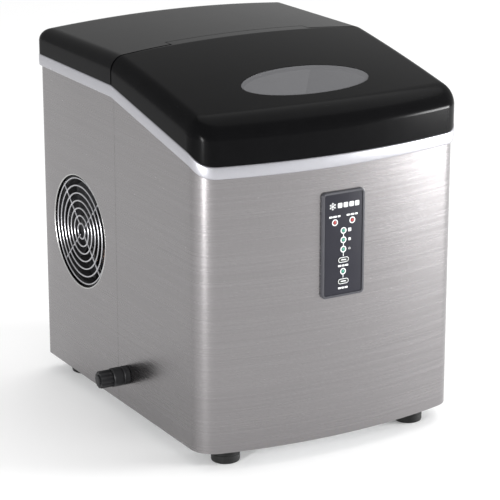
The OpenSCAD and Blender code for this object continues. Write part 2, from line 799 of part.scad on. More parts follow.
// Rails along the side walls that carry the basket and the works frame
module tank_rails() color("whitesmoke") sides() {
    span(basket_x + 2.6, tank_in_x, basket_front - 3, basket_back + 3, shelf_z - shelf_t - loose,
        shelf_z - loose);
    span(tank_in_x - 7, tank_in_x, tray_front - 3, tank_in_back, works_ledge_z - 4,
        works_ledge_z - 0.1);
}

module tank_foam() color("khaki") difference() {
    outline(-sheet_t - 2, floor_z + 4, 286);
    span(-tank_w / 2 - loose, tank_w / 2 + loose, tank_front - loose, 250, 0, 400);
    span(-200, 200, tank_back, 250, 0, 400);
    bar_x(-200, 0, drain_y, drain_z, 13);
    span(-panel_w / 2 - 2, panel_w / 2 + 2, -250, -body_d / 2 + 17, panel_z - panel_h / 2 - 2,
        panel_top + 2);
}

module ice_basket() color("silver") difference() {
    union() {
        intersection() {
            span(-basket_x, basket_x, basket_front, basket_back, shelf_z + 2 - basket_h, shelf_z + 2);
            union() {
                span(-200, 200, basket_front, basket_back - basket_wall, 0, 400);
                span(-200, 200, basket_front, basket_back, 0, shelf_z + 2 - basket_h + basket_back_h);
            }
        }
        sides() span(basket_x - 1, basket_x + rim_w, basket_front, basket_back - basket_wall,
            shelf_z, shelf_z + 2);
    }
    span(basket_wall - basket_x, basket_x - basket_wall, basket_front + basket_wall,
        basket_back - basket_wall, shelf_z + 4 - basket_h, 400);
    span(basket_wall - basket_x, basket_x - basket_wall, basket_back - 10, basket_back + 10,
        shelf_z + 2 - basket_h + basket_back_h, 400);
    for (x = [-84:14:84], y = [0, 1]) span(x - 3, x + 3, basket_front + 8 + y * 25,
        basket_front + 27 + y * 25, 0, shelf_z + 10 - basket_h);
}

module works_frame() color("#2c2c2e") difference() {
    union() {
        span(-tank_in_x + 0.5, tank_in_x - 0.5, tray_front - 2, tank_in_back - 1, works_ledge_z,
            works_ledge_z + 3);
        sides() span(side_x, side_x + side_t, tray_front + 4, tank_in_back - 4, tray_axis_z - 9,
            works_ledge_z + 1);
    }
    sides() bar_x(side_x - 1, side_x + side_t + 1, tray_axis_y, tray_axis_z, shaft_r + run);
    for (x = [-40, 40]) span(x - 12, x + 12, tray_front + 10, tray_front + 14, 300, 320);
}

finger_rows = [[for (i = [-2:2]) i * finger_pitch], [for (i = [-1.5:1.5]) i * finger_pitch]];

module evaporator() color("#b8b4a8") union() {
    for (row = [0, 1]) {
        span(-50, 50, row_y[row] - header_r, row_y[row] + header_r, header_z - header_r,
            header_z + header_r);
        for (x = finger_rows[row])
            bar_z(x, row_y[row], header_z - finger_len, header_z - 1, finger_r);
    }
    for (x = [-46, 46]) {
        span(x - 4, x + 4, row_y[0], row_y[1], header_z - 4, header_z + 4);
        span(x - 4, x + 4, row_y[0], row_y[0] + 4, header_z, works_ledge_z);
    }
}

module water_tray() color("lightsteelblue") difference() {
    union() {
        span(-tray_w / 2, tray_w / 2, tray_front, tray_back, tray_axis_z - tray_h, tray_axis_z);
        sides() bar_x(tray_w / 2 - tray_t, tray_w / 2 + 3, tray_axis_y, tray_axis_z, 6);
    }
    span(tray_t - tray_w / 2, tray_w / 2 - tray_t, tray_front + tray_t, tray_back - tray_t,
        tray_axis_z - tray_h + tray_t, tray_axis_z + 10);
    sides() bar_x(tray_w / 2 - 10, tray_w / 2 + 10, tray_axis_y, tray_axis_z, shaft_r);
}

module tray_shafts() color("lightgray") union() {
    sides() bar_x(tray_w / 2 - tray_t, side_x + side_t + 1.5, tray_axis_y, tray_axis_z, shaft_r);
    bar_x(side_x + side_t, motor_x + 12, tray_axis_y, tray_axis_z, shaft_r);
}

module tray_motor() color("#3a3a3e") difference() {
    union() {
        span(motor_x, motor_x + 16, tray_axis_y - 16, tray_axis_y + 22, tray_axis_z - 18,
            tray_axis_z + 18);
        bar_x(motor_x + 16, motor_x + 34, tray_axis_y + 8, tray_axis_z, 13);
    }
    bar_x(motor_x - 1, motor_x + 13, tray_axis_y, tray_axis_z, shaft_r + run);
}

module ice_chute() color("#4a4a4e") rotate([90, 0, 90]) linear_extrude(2 * side_x, center = true)
    polygon([[tank_in_back, 226], [tank_in_back, 223], [basket_back + 1, 202],
        [basket_back + 1, 205]]);

pump_x = -42;
pump_z = tank_z + 11;
hose_x = -50;
hose_r = 4;
hose_z = header_z - 11;
axle_r = 2;

module water_pump() color("#26262a") union() {
    pump_housing();
    bar_y(pump_x, 23, 37, pump_z, axle_r);
}

module pump_housing() difference() {
    union() {
        bar_y(pump_x, 14, 44, pump_z, 20);
        bar_y(pump_x, tank_back, 14, pump_z, 6);
        bar_z(pump_x + 12, 26, pump_z, pump_z + 28, 5);
        bar_y(pump_x, 44, 66, pump_z, 15);
    }
    bar_y(pump_x, 17, 36, pump_z, 17);
    bar_y(pump_x, 0, 18, pump_z, 4);
    bar_z(pump_x + 12, 26, pump_z + 5, pump_z + 29, 3);
}

module pump_impeller() color("white") difference() {
    union() {
        bar_y(pump_x, 26, 34, pump_z, 6);
        for (a = [0:60:300]) translate([pump_x, 26, pump_z]) rotate([0, a, 0])
            translate([-1, 0, 4]) cube([2, 7, 11]);
    }
    bar_y(pump_x, 20, 40, pump_z, axle_r + run);
}

module fill_hose() color("lightgray") difference() {
    tube([[pump_x + 12, 26, pump_z + 28], [pump_x + 12, 26, 90], [hose_x, 14, 110],
        [hose_x, 14, hose_z], [hose_x, tray_axis_y - 3, hose_z],
        [hose_x, tray_axis_y - 3, tray_axis_z + 6]], hose_r);
    bar_z(pump_x + 12, 26, pump_z, pump_z + 40, 2.5);
    bar_z(hose_x, tray_axis_y - 3, tray_axis_z, hose_z - 4, 2.5);
}

stem_x = 80;
stem_y = -100;
stem_r = 3;
float_travel = 18;
stem_z = tank_z + tank_t;

module level_stem() color("whitesmoke") union() {
    bar_z(stem_x, stem_y, stem_z, stem_z + 60, stem_r);
    bar_z(stem_x, stem_y, stem_z, stem_z + 6, 7);
    bar_z(stem_x, stem_y, stem_z + 6 + float_travel + 18, stem_z + 6 + float_travel + 20, 5);
}

module level_float() color("white") translate([stem_x, stem_y, stem_z + 6.3]) difference() {
    cylinder(h = 16, r = 9.5);
    translate([0, 0, -1]) cylinder(h = 20, r = stem_r + 0.08);
}

module ice_sensors() color("#28282a") sides() union() {
    span(tank_in_x - 4, tank_in_x, -107, -93, 288, 300);
    bar_x(tank_in_x - 4.8, tank_in_x - 4, -100, 294, 3);
}

front_casing();
rear_casing();
base_plate();
feet();
foot_screws();
trim_band();
top_deck();
lid();
lid_window();
hinge_pins();
rear_cover();
cover_screws();
panel_bezel();
panel_fascia();
red_lamps();
green_lamps();
select_button();
power_button();
display_board();
fan_guard();
guard_screws();
fan_frame();
fan_motor();
fan_rotor();
condenser_fins();
condenser_tube();
compressor();
compressor_grommets();
compressor_bolts();
terminal_cover();
discharge_pipe();
suction_pipe();
hot_gas_valve();
filter_drier();
main_board();
board_posts();
power_inlet();
drain_spigot();
drain_nut();
drain_seal();
drain_cap();
drain_hose();
inner_tank();
tank_rails();
tank_foam();
ice_basket();
works_frame();
evaporator();
water_tray();
tray_shafts();
tray_motor();
ice_chute();
water_pump();
pump_impeller();
fill_hose();
level_stem();
level_float();
ice_sensors();
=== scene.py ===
"""Looks of a countertop ice maker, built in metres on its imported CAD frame."""

import json
import logging
import math
from dataclasses import dataclass
from enum import Enum
from typing import Callable, Sequence

import bmesh
import bpy
from mathutils import Matrix, Vector


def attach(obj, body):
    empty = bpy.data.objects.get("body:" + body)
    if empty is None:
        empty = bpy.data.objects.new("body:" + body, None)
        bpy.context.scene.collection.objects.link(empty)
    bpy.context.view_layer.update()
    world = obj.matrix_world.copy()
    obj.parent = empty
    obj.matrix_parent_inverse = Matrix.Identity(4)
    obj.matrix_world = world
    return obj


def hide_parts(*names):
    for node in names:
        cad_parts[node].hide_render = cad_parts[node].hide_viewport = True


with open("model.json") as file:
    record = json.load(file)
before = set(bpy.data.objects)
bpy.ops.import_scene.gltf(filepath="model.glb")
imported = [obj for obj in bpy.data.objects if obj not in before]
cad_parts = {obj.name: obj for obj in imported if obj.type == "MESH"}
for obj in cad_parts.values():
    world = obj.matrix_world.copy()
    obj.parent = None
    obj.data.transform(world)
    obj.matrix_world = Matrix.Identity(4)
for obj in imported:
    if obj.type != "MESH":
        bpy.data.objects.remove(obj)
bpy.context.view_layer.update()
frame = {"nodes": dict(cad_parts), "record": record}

logging.basicConfig(level=logging.INFO, format="%(message)s")
log = logging.getLogger("ice_maker")

Colour = tuple[float, float, float]
X_AXIS, Y_AXIS, Z_AXIS = Vector((1, 0, 0)), Vector((0, 1, 0)), Vector((0, 0, 1))
FAN_Y, FAN_Z = 0.09225, 0.173
DRAIN_Y, DRAIN_Z = -0.009, 0.051
PANEL_Z = 0.2115


# ---------------------------------------------------------------- body form


@dataclass(frozen=True)
class BodyForm:
    """The plan outline, the trim line and the two roofs that every cover follows."""

    half_width: float = 0.143
    bow_radius: float = 0.520
    bow_y: float = 0.34075
    corner_radius: float = 0.024
    corner_x: float = 0.119
    corner_y: float = -0.140763
    rear_radius: float = 0.010
    rear_y: float = 0.17925
    seam_y: float = 0.0095
    foot_top: float = 0.018
    band_height: float = 0.012
    band_out: float = 0.003
    cover_out: float = 0.0025
    crown_radius: float = 1.492
    hinge_y: float = 0.0085
    hinge_z: float = 0.3685
    hinge_drop: float = 0.008
    roof_top: float = 0.3765
    roof_half: float = 0.1325
    lid_slope: float = 0.15
    lid_sag: float = 0.20
    rear_slope: float = 0.012
    band_flat_y: float = -0.16775
    band_ramp_y: float = -0.14225
    band_low: float = 0.2995
    band_high: float = 0.342
    band_slope: float = 0.20396

    @property
    def turn(self) -> float:
        """Angle of the bow's end away from straight ahead."""
        return math.atan2(self.corner_x, self.bow_y - self.corner_y)

    def band_top(self, y: float) -> float:
        """Height of the trim band's top edge.

        Args:
            y: Place from front (negative) to back.

        Returns:
            Height above the floor.
        """
        ramp = self.band_high - self.band_slope * (self.seam_y - y)
        if y >= self.seam_y:
            return self.band_high
        if y <= self.band_flat_y:
            return self.band_low
        if y >= self.band_ramp_y:
            return ramp
        t = (y - self.band_flat_y) / (self.band_ramp_y - self.band_flat_y)
        return self.band_low + (ramp - self.band_low) * t * t * (3 - 2 * t)

    def front_at(self, x: float, grow: float) -> float:
        """Y of the outline's front at a place across.

        Args:
            x: Place across.
            grow: How far the outline stands out from the casing.

        Returns:
            The front's Y.
        """
        if abs(x) <= (self.bow_radius + grow) * math.sin(self.turn):
            return self.bow_y - math.sqrt((self.bow_radius + grow) ** 2 - x * x)
        reach = (self.corner_radius + grow) ** 2 - (abs(x) - self.corner_x) ** 2
        return self.corner_y - math.sqrt(max(reach, 0.0))

    def back_at(self, x: float, grow: float) -> float:
        """Y of the outline's back at a place across.

        Args:
            x: Place across.
            grow: How far the outline stands out from the casing.

        Returns:
            The back's Y.
        """
        over = abs(x) - (self.half_width - self.rear_radius)
        radius = self.rear_radius + grow
        if over <= 0:
            return self.rear_y + grow
        return self.rear_y - self.rear_radius + math.sqrt(max(radius**2 - over**2, 0.0))

    def lid_roof(self, x: float, y: float) -> float:
        """Height of the lid's sloping roof, level behind the hinge.

        Args:
            x: Place across.
            y: Place from front to back.

        Returns:
            Height above the floor.
        """
        s = self.hinge_y - y
        fall = self.lid_slope * s + self.lid_sag * s * s if s > 0 else -self.rear_slope * s
        return self.roof_top - fall - self.crown(x)

    def rear_roof(self, x: float, y: float) -> float:
        """Height of the rear cover's nearly level roof."""
        return self.roof_top - self.rear_slope * (y - self.hinge_y) - self.crown(x)

    def crown(self, x: float) -> float:
        """How far the crowned roof has come down at a place across."""
        return x * x / (2 * self.crown_radius)


FORM = BodyForm()


# ---------------------------------------------------------------- mesh tools


def new_piece(
    bm: bmesh.types.BMesh,
    name: str,
    body: str,
    material: bpy.types.Material,
    stands_for: Sequence[str] = (),
    sharp: float = 32.0,
) -> bpy.types.Object:
    """Turns a finished bmesh into a named piece that rides on a CAD body.

    Args:
        bm: The shape, in the row frame; it is freed here.
        name: The piece's name.
        body: The CAD body it moves with.
        material: Its finish.
        stands_for: CAD nodes it replaces.
        sharp: Edges steeper than this many degrees stay crisp.

    Returns:
        The new object.
    """
    bmesh.ops.remove_doubles(bm, verts=bm.verts, dist=1e-6)
    bmesh.ops.recalc_face_normals(bm, faces=bm.faces)
    for face in bm.faces:
        face.smooth = True
    mesh = bpy.data.meshes.new(name)
    bm.to_mesh(mesh)
    bm.free()
    mesh.set_sharp_from_angle(angle=math.radians(sharp))
    mesh.materials.append(material)
    piece = bpy.data.objects.new(name, mesh)
    bpy.context.scene.collection.objects.link(piece)
    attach(piece, body)
    if stands_for:
        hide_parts(*stands_for)
    log.info("made %s: %d faces", name, len(mesh.polygons))
    return piece


def carve(bm: bmesh.types.BMesh, tool: bmesh.types.BMesh) -> bmesh.types.BMesh:
    """Cuts one closed shape out of another.

    Args:
        bm: The shape to cut; it is freed here.
        tool: The closed cutter; it is freed here.

    Returns:
        The cut shape.
    """
    made = []
    for source in (bm, tool):
        bmesh.ops.recalc_face_normals(source, faces=source.faces)
        mesh = bpy.data.meshes.new("carve")
        source.to_mesh(mesh)
        source.free()
        item = bpy.data.objects.new("carve", mesh)
        bpy.context.scene.collection.objects.link(item)
        made.append(item)
    cut = made[0].modifiers.new("cut", "BOOLEAN")
    cut.object, cut.operation, cut.solver = made[1], "DIFFERENCE", "EXACT"
    bpy.context.view_layer.update()
    graph = bpy.context.evaluated_depsgraph_get()
    result = bmesh.new()
    result.from_object(made[0], graph)
    for item in made:
        mesh = item.data
        bpy.data.objects.remove(item)
        bpy.data.meshes.remove(mesh)
    return result


def face_right(bm: bmesh.types.BMesh, is_right: Callable[[bmesh.types.BMesh], bool]) -> None:
    """Makes the faces of an open sheet agree, and turns them all over if they face the wrong way.

    Args:
        bm: The sheet.
        is_right: Tells whether the sheet faces the right way.
    """
    bmesh.ops.recalc_face_normals(bm, faces=bm.faces)
    if not is_right(bm):
        bmesh.ops.reverse_faces(bm, faces=bm.faces)
    bm.normal_update()


def pull_rim(
    bm: bmesh.types.BMesh, rims: Sequence[bmesh.types.BMEdge]
) -> tuple[list[bmesh.types.BMVert], list[bmesh.types.BMEdge]]:
    """Extrudes a rim in place.

    Args:
        bm: The shape.
        rims: The rim's edges.

    Returns:
        The new rim's vertices and edges, still lying on the old ones.
    """
    made = bmesh.ops.extrude_edge_only(bm, edges=rims)["geom"]
    tips = [v for v in made if isinstance(v, bmesh.types.BMVert)]
    return tips, [e for e in made if isinstance(e, bmesh.types.BMEdge)]


def merge(parts: Sequence[bmesh.types.BMesh]) -> bmesh.types.BMesh:
    """Joins shapes into one bmesh, freeing the parts.

    Args:
        parts: The shapes; they are freed here.

    Returns:
        One bmesh that holds them all.
    """
    whole = bmesh.new()
    for part in parts:
        mesh = bpy.data.meshes.new("join")
        part.to_mesh(mesh)
        part.free()
        whole.from_mesh(mesh)
        bpy.data.meshes.remove(mesh)
    return whole


def round_plate(
    width: float, height: float, depth: float, corner: float, soft: float = 0.0
) -> bmesh.types.BMesh:
    """A plate with rounded corners that faces -Y, with its back at Y = 0.

    Args:
        width: Size along X.
        height: Size along Z.
        depth: How far it stands out towards -Y.
        corner: Corner radius.
        soft: Radius of its front edge.

    Returns:
        The closed plate, centred in X and Z.
    """
    bm = bmesh.new()
    bmesh.ops.create_grid(bm, x_segments=1, y_segments=1, size=0.5)
    bmesh.ops.scale(bm, vec=(width, height, 1), verts=bm.verts)
    bmesh.ops.bevel(
        bm, geom=bm.verts[:], offset=corner, segments=8, profile=0.5,
        affect="VERTICES", material=-1,
    )
    grown = bmesh.ops.extrude_face_region(bm, geom=bm.faces[:])["geom"]
    raised = [v for v in grown if isinstance(v, bmesh.types.BMVert)]
    bmesh.ops.translate(bm, vec=(0, 0, depth), verts=raised)
    if soft:
        rim = [e for e in bm.edges if all(v.co.z > depth - 1e-7 for v in e.verts)]
        bmesh.ops.bevel(
            bm, geom=rim, offset=soft, segments=3, profile=0.5, affect="EDGES", material=-1
        )
    bmesh.ops.rotate(bm, verts=bm.verts, matrix=Matrix.Rotation(math.pi / 2, 3, "X"))
    return bm


def box_form(low: Sequence[float], high: Sequence[float], soft: float = 0.0) -> bmesh.types.BMesh:
    """A block between two corners, with its edges rounded.

    Args:
        low: The corner with the smallest X, Y and Z.
        high: The opposite corner.
        soft: Radius of its edges; 0 leaves them sharp.

    Returns:
        The closed block.
    """
    bm = bmesh.new()
    bmesh.ops.create_cube(bm, size=1.0)
    bmesh.ops.scale(bm, vec=[b - a for a, b in zip(low, high)], verts=bm.verts)
    bmesh.ops.translate(bm, vec=[(a + b) / 2 for a, b in zip(low, high)], verts=bm.verts)
    if soft:
        bmesh.ops.bevel(
            bm, geom=bm.edges[:], offset=soft, segments=2, profile=0.5,
            affect="EDGES", material=-1,
        )
    return bm


def lathe(
    profile: Sequence[tuple[float, float]],
    centre: Sequence[float],
    axis: Vector,
    steps: int = 48,
) -> bmesh.types.BMesh:
    """Turns a profile about an axis.

    Args:
        profile: (radius, distance along the axis) pairs, from end to end.
        centre: A point of the axis that the distances start from.
        axis: The unit direction of the axis.
        steps: How many facets go round.

    Returns:
        The turned shape, closed where the profile meets the axis.
    """
    bm = bmesh.new()
    side = axis.orthogonal().normalized()
    origin = Vector(centre)
    places = [bm.verts.new(origin + side * r + axis * t) for r, t in profile]
    edges = [bm.edges.new(pair) for pair in zip(places, places[1:])]
    bmesh.ops.spin(
        bm, geom=places + edges, cent=origin, axis=axis, angle=2 * math.pi,
        steps=steps, use_merge=True,
    )
    bmesh.ops.remove_doubles(bm, verts=bm.verts, dist=1e-6)
    bmesh.ops.recalc_face_normals(bm, faces=bm.faces)
    return bm


def ring(radius: float, wire: float, centre: Sequence[float], axis: Vector) -> bmesh.types.BMesh:
    """A round wire bent into a full ring.

    Args:
        radius: Radius of the ring's middle line.
        wire: The wire's radius.
        centre: The ring's centre.
        axis: The unit direction through the ring's opening.

    Returns:
        The closed ring.
    """
    bm = bmesh.new()
    side = axis.orthogonal().normalized()
    made = bmesh.ops.create_circle(bm, segments=10, radius=wire)
    frame3 = Matrix((side, axis, side.cross(axis))).transposed()
    bmesh.ops.transform(bm, matrix=frame3.to_4x4(), verts=made["verts"])
    bmesh.ops.translate(bm, vec=Vector(centre) + side * radius, verts=made["verts"])
    bmesh.ops.spin(
        bm, geom=bm.verts[:] + bm.edges[:], cent=Vector(centre), axis=axis,
        angle=2 * math.pi, steps=72, use_merge=True,
    )
    bmesh.ops.remove_doubles(bm, verts=bm.verts, dist=1e-7)
    bmesh.ops.recalc_face_normals(bm, faces=bm.faces)
    return bm


def rod(start: Sequence[float], end: Sequence[float], radius: float) -> bmesh.types.BMesh:
    """A straight round rod with softened ends.

    Args:
        start: The middle of one end.
        end: The middle of the other end.
        radius: The rod's radius.

    Returns:
        The closed rod.
    """
    a, b = Vector(start), Vector(end)
    length = (b - a).length
    soft = min(radius * 0.35, length / 4)
    profile = [
        (0.0, 0.0), (radius - soft, 0.0), (radius, soft),
        (radius, length - soft), (radius - soft, length), (0.0, length),
    ]
    return lathe(profile, a, (b - a).normalized(), 16)


class Run(Enum):
    """Which stretch of the outline a sheet follows."""

    FRONT = "front"
    REAR = "rear"
    WHOLE = "whole"


def draw_outline(bm: bmesh.types.BMesh, grow: float, run: Run) -> None:
    """Draws the plan outline as edges, by turning a point round each corner.

    Args:
        bm: The bmesh to draw in.
        grow: How far outside the casing the line lies.
        run: The stretch to draw.
    """
    half = FORM.half_width + grow
    seam = FORM.seam_y
    bend_y = -0.12
    seam_gap = 0.00012

    def walk(tip: bmesh.types.BMVert, place: tuple[float, float], steps: int) -> bmesh.types.BMVert:
        """Goes straight to a place in some steps.

        Args:
            tip: Where the line has got to.
            place: Where it goes.
            steps: How many edges it takes.

        Returns:
            The new end of the line.
        """
        stride = (Vector((*place, 0)) - tip.co) / steps
        for _ in range(steps):
            tip = bmesh.ops.extrude_vert_indiv(bm, verts=[tip])["verts"][0]
            tip.co += stride
        return tip

    def turn(tip: bmesh.types.BMVert, x: float, y: float, angle: float, steps: int) -> bmesh.types.BMVert:
        """Goes round a centre by an angle.

        Args:
            tip: Where the line has got to.
            x: X of the centre.
            y: Y of the centre.
            angle: How far it goes round, in radians.
            steps: How many edges it takes.

        Returns:
            The new end of the line.
        """
        made = bmesh.ops.spin(
            bm, geom=[tip], cent=(x, y, 0), axis=Z_AXIS, angle=angle, steps=steps
        )["geom_last"]
        return next(v for v in made if isinstance(v, bmesh.types.BMVert))

    if run is not Run.REAR:
        gap = seam_gap if run is Run.FRONT else 0.0
        tip = walk(bm.verts.new((half, seam - gap, 0)), (half, bend_y), 10)
        tip = walk(tip, (half, FORM.corner_y), 2)
        tip = turn(tip, FORM.corner_x, FORM.corner_y, FORM.turn - math.pi / 2, 12)
        tip = turn(tip, 0, FORM.bow_y, -2 * FORM.turn, 64)
        tip = turn(tip, -FORM.corner_x, FORM.corner_y, FORM.turn - math.pi / 2, 12)
        tip = walk(tip, (-half, bend_y), 2)
        walk(tip, (-half, seam - gap), 10)
    if run is not Run.FRONT:
        gap = seam_gap if run is Run.REAR else 0.0
        corner_x, corner_y = half - grow - FORM.rear_radius, FORM.rear_y - FORM.rear_radius
        tip = walk(bm.verts.new((-half, seam + gap, 0)), (-half, corner_y), 2)
        tip = turn(tip, -corner_x, corner_y, -math.pi / 2, 8)
        tip = walk(tip, (corner_x, FORM.rear_y + grow), 4)
        tip = turn(tip, corner_x, corner_y, -math.pi / 2, 8)
        walk(tip, (half, seam + gap), 2)
    bmesh.ops.remove_doubles(bm, verts=bm.verts, dist=1e-6)


def outline_wall(
    grow: float, thickness: float, run: Run, low: Callable[[float], float], high: Callable[[float], float]
) -> bmesh.types.BMesh:
    """An upright sheet along the outline, with its thickness inwards.

    Args:
        grow: How far outside the casing its face lies.
        thickness: The sheet's thickness.
        run: The stretch of the outline.
        low: Height of its lower edge at a Y.
        high: Height of its upper edge at a Y.

    Returns:
        The closed sheet.
    """
    bm = bmesh.new()
    draw_outline(bm, grow, run)
    base = bm.verts[:]
    top, _ = pull_rim(bm, bm.edges[:])
    for vert in top:
        vert.co.z = high(vert.co.y)
    for vert in base:
        vert.co.z = low(vert.co.y)
    face_right(bm, faces_out_sideways)
    bmesh.ops.solidify(bm, geom=bm.faces[:], thickness=thickness)
    return bm


def faces_out_sideways(bm: bmesh.types.BMesh) -> bool:
    """Whether the face farthest to a side faces away from the middle.

    Args:
        bm: A sheet that stands round the middle.

    Returns:
        True if it faces out.
    """
    probe = max(bm.faces, key=lambda f: abs(f.calc_center_median().x))
    return probe.normal.x * probe.calc_center_median().x >= 0


# ---------------------------------------------------------------- finishes


def group(name: str, inputs: Sequence[tuple[str, str, float]], outputs: Sequence[str]) -> bpy.types.NodeTree:
    """Starts a shader node group with its sockets.

    Args:
        name: The group's name.
        inputs: (name, socket type, starting value) of each input.
        outputs: Names of the value outputs.

    Returns:
        The empty group, with its input and output nodes placed.
    """
    tree = bpy.data.node_groups.new(name, "ShaderNodeTree")
    for label, kind, value in inputs:
        socket = tree.interface.new_socket(label, in_out="INPUT", socket_type=kind)
        if kind == "NodeSocketFloat":
            socket.default_value = value
    for label in outputs:
        tree.interface.new_socket(label, in_out="OUTPUT", socket_type="NodeSocketFloat")
    tree.nodes.new("NodeGroupInput").name = "in"
    tree.nodes.new("NodeGroupOutput").name = "out"
    return tree


def math_node(
    tree: bpy.types.NodeTree, kind: str, a: bpy.types.NodeSocket | float, b: bpy.types.NodeSocket | float
) -> bpy.types.NodeSocket:
    """Adds a Math node fed by sockets or numbers, and returns its output.

    Args:
        tree: The node tree.
        kind: The node's operation.
        a: The first value or the socket that gives it.
        b: The second value or the socket that gives it.

    Returns:
        The node's output.
    """
    node = tree.nodes.new("ShaderNodeMath")
    node.operation = kind
    for socket, value in zip(node.inputs, (a, b)):
        if isinstance(value, bpy.types.NodeSocket):
            tree.links.new(value, socket)
        else:
            socket.default_value = value
    return node.outputs[0]


def grain_group() -> bpy.types.NodeTree:
    """Noise stretched differently along each axis: brushing, leather-like mould grain, casting skin.

    Returns:
        The group, with the output Value.
    """
    tree = group(
        "surface_grain",
        [("Vector", "NodeSocketVector", 0), ("Stretch", "NodeSocketVector", 0), ("Detail", "NodeSocketFloat", 3)],
        ["Value"],
    )
    start, end = tree.nodes["in"], tree.nodes["out"]
    scaled = tree.nodes.new("ShaderNodeVectorMath")
    scaled.operation = "MULTIPLY"
    tree.links.new(start.outputs["Vector"], scaled.inputs[0])
    tree.links.new(start.outputs["Stretch"], scaled.inputs[1])
    noise = tree.nodes.new("ShaderNodeTexNoise")
    noise.inputs["Scale"].default_value = 1.0
    tree.links.new(scaled.outputs[0], noise.inputs["Vector"])
    tree.links.new(start.outputs["Detail"], noise.inputs["Detail"])
    tree.links.new(noise.outputs[0], end.inputs["Value"])
    return tree


def dust_group() -> bpy.types.NodeTree:
    """A patchy film that settles on faces that look up.

    Returns:
        The group, with the output Mask.
    """
    tree = group(
        "settled_dust",
        [("Vector", "NodeSocketVector", 0), ("Amount", "NodeSocketFloat", 0.1), ("Scale", "NodeSocketFloat", 40)],
        ["Mask"],
    )
    start, end = tree.nodes["in"], tree.nodes["out"]
    noise = tree.nodes.new("ShaderNodeTexNoise")
    noise.inputs["Detail"].default_value = 4.0
    tree.links.new(start.outputs["Vector"], noise.inputs["Vector"])
    tree.links.new(start.outputs["Scale"], noise.inputs["Scale"])
    facing = tree.nodes.new("ShaderNodeNewGeometry")
    split = tree.nodes.new("ShaderNodeSeparateXYZ")
    tree.links.new(facing.outputs["Normal"], split.inputs[0])
    upward = math_node(tree, "MAXIMUM", split.outputs["Z"], 0.0)
    patch = math_node(tree, "MULTIPLY", noise.outputs[0], upward)
    tree.links.new(math_node(tree, "MULTIPLY", patch, start.outputs["Amount"]), end.inputs["Mask"])
    return tree


def wear_and_highlight_group() -> bpy.types.NodeTree:
    """Outer edges picked out by how pointed the surface is: rubbed wear on most finishes, a painted highlight on
    the bezel's rim.

    Returns:
        The group, with the output Mask.
    """
    tree = group("edge_wear_and_highlight", [("Amount", "NodeSocketFloat", 0.3)], ["Mask"])
    start, end = tree.nodes["in"], tree.nodes["out"]
    facing = tree.nodes.new("ShaderNodeNewGeometry")
    past = math_node(tree, "SUBTRACT", facing.outputs["Pointiness"], 0.52)
    sharp = math_node(tree, "MULTIPLY", math_node(tree, "MAXIMUM", past, 0.0), 9.0)
    kept = math_node(tree, "MULTIPLY", math_node(tree, "MINIMUM", sharp, 1.0), start.outputs["Amount"])
    tree.links.new(kept, end.inputs["Mask"])
    return tree


DUST_COLOUR: Colour = (0.55, 0.54, 0.52)


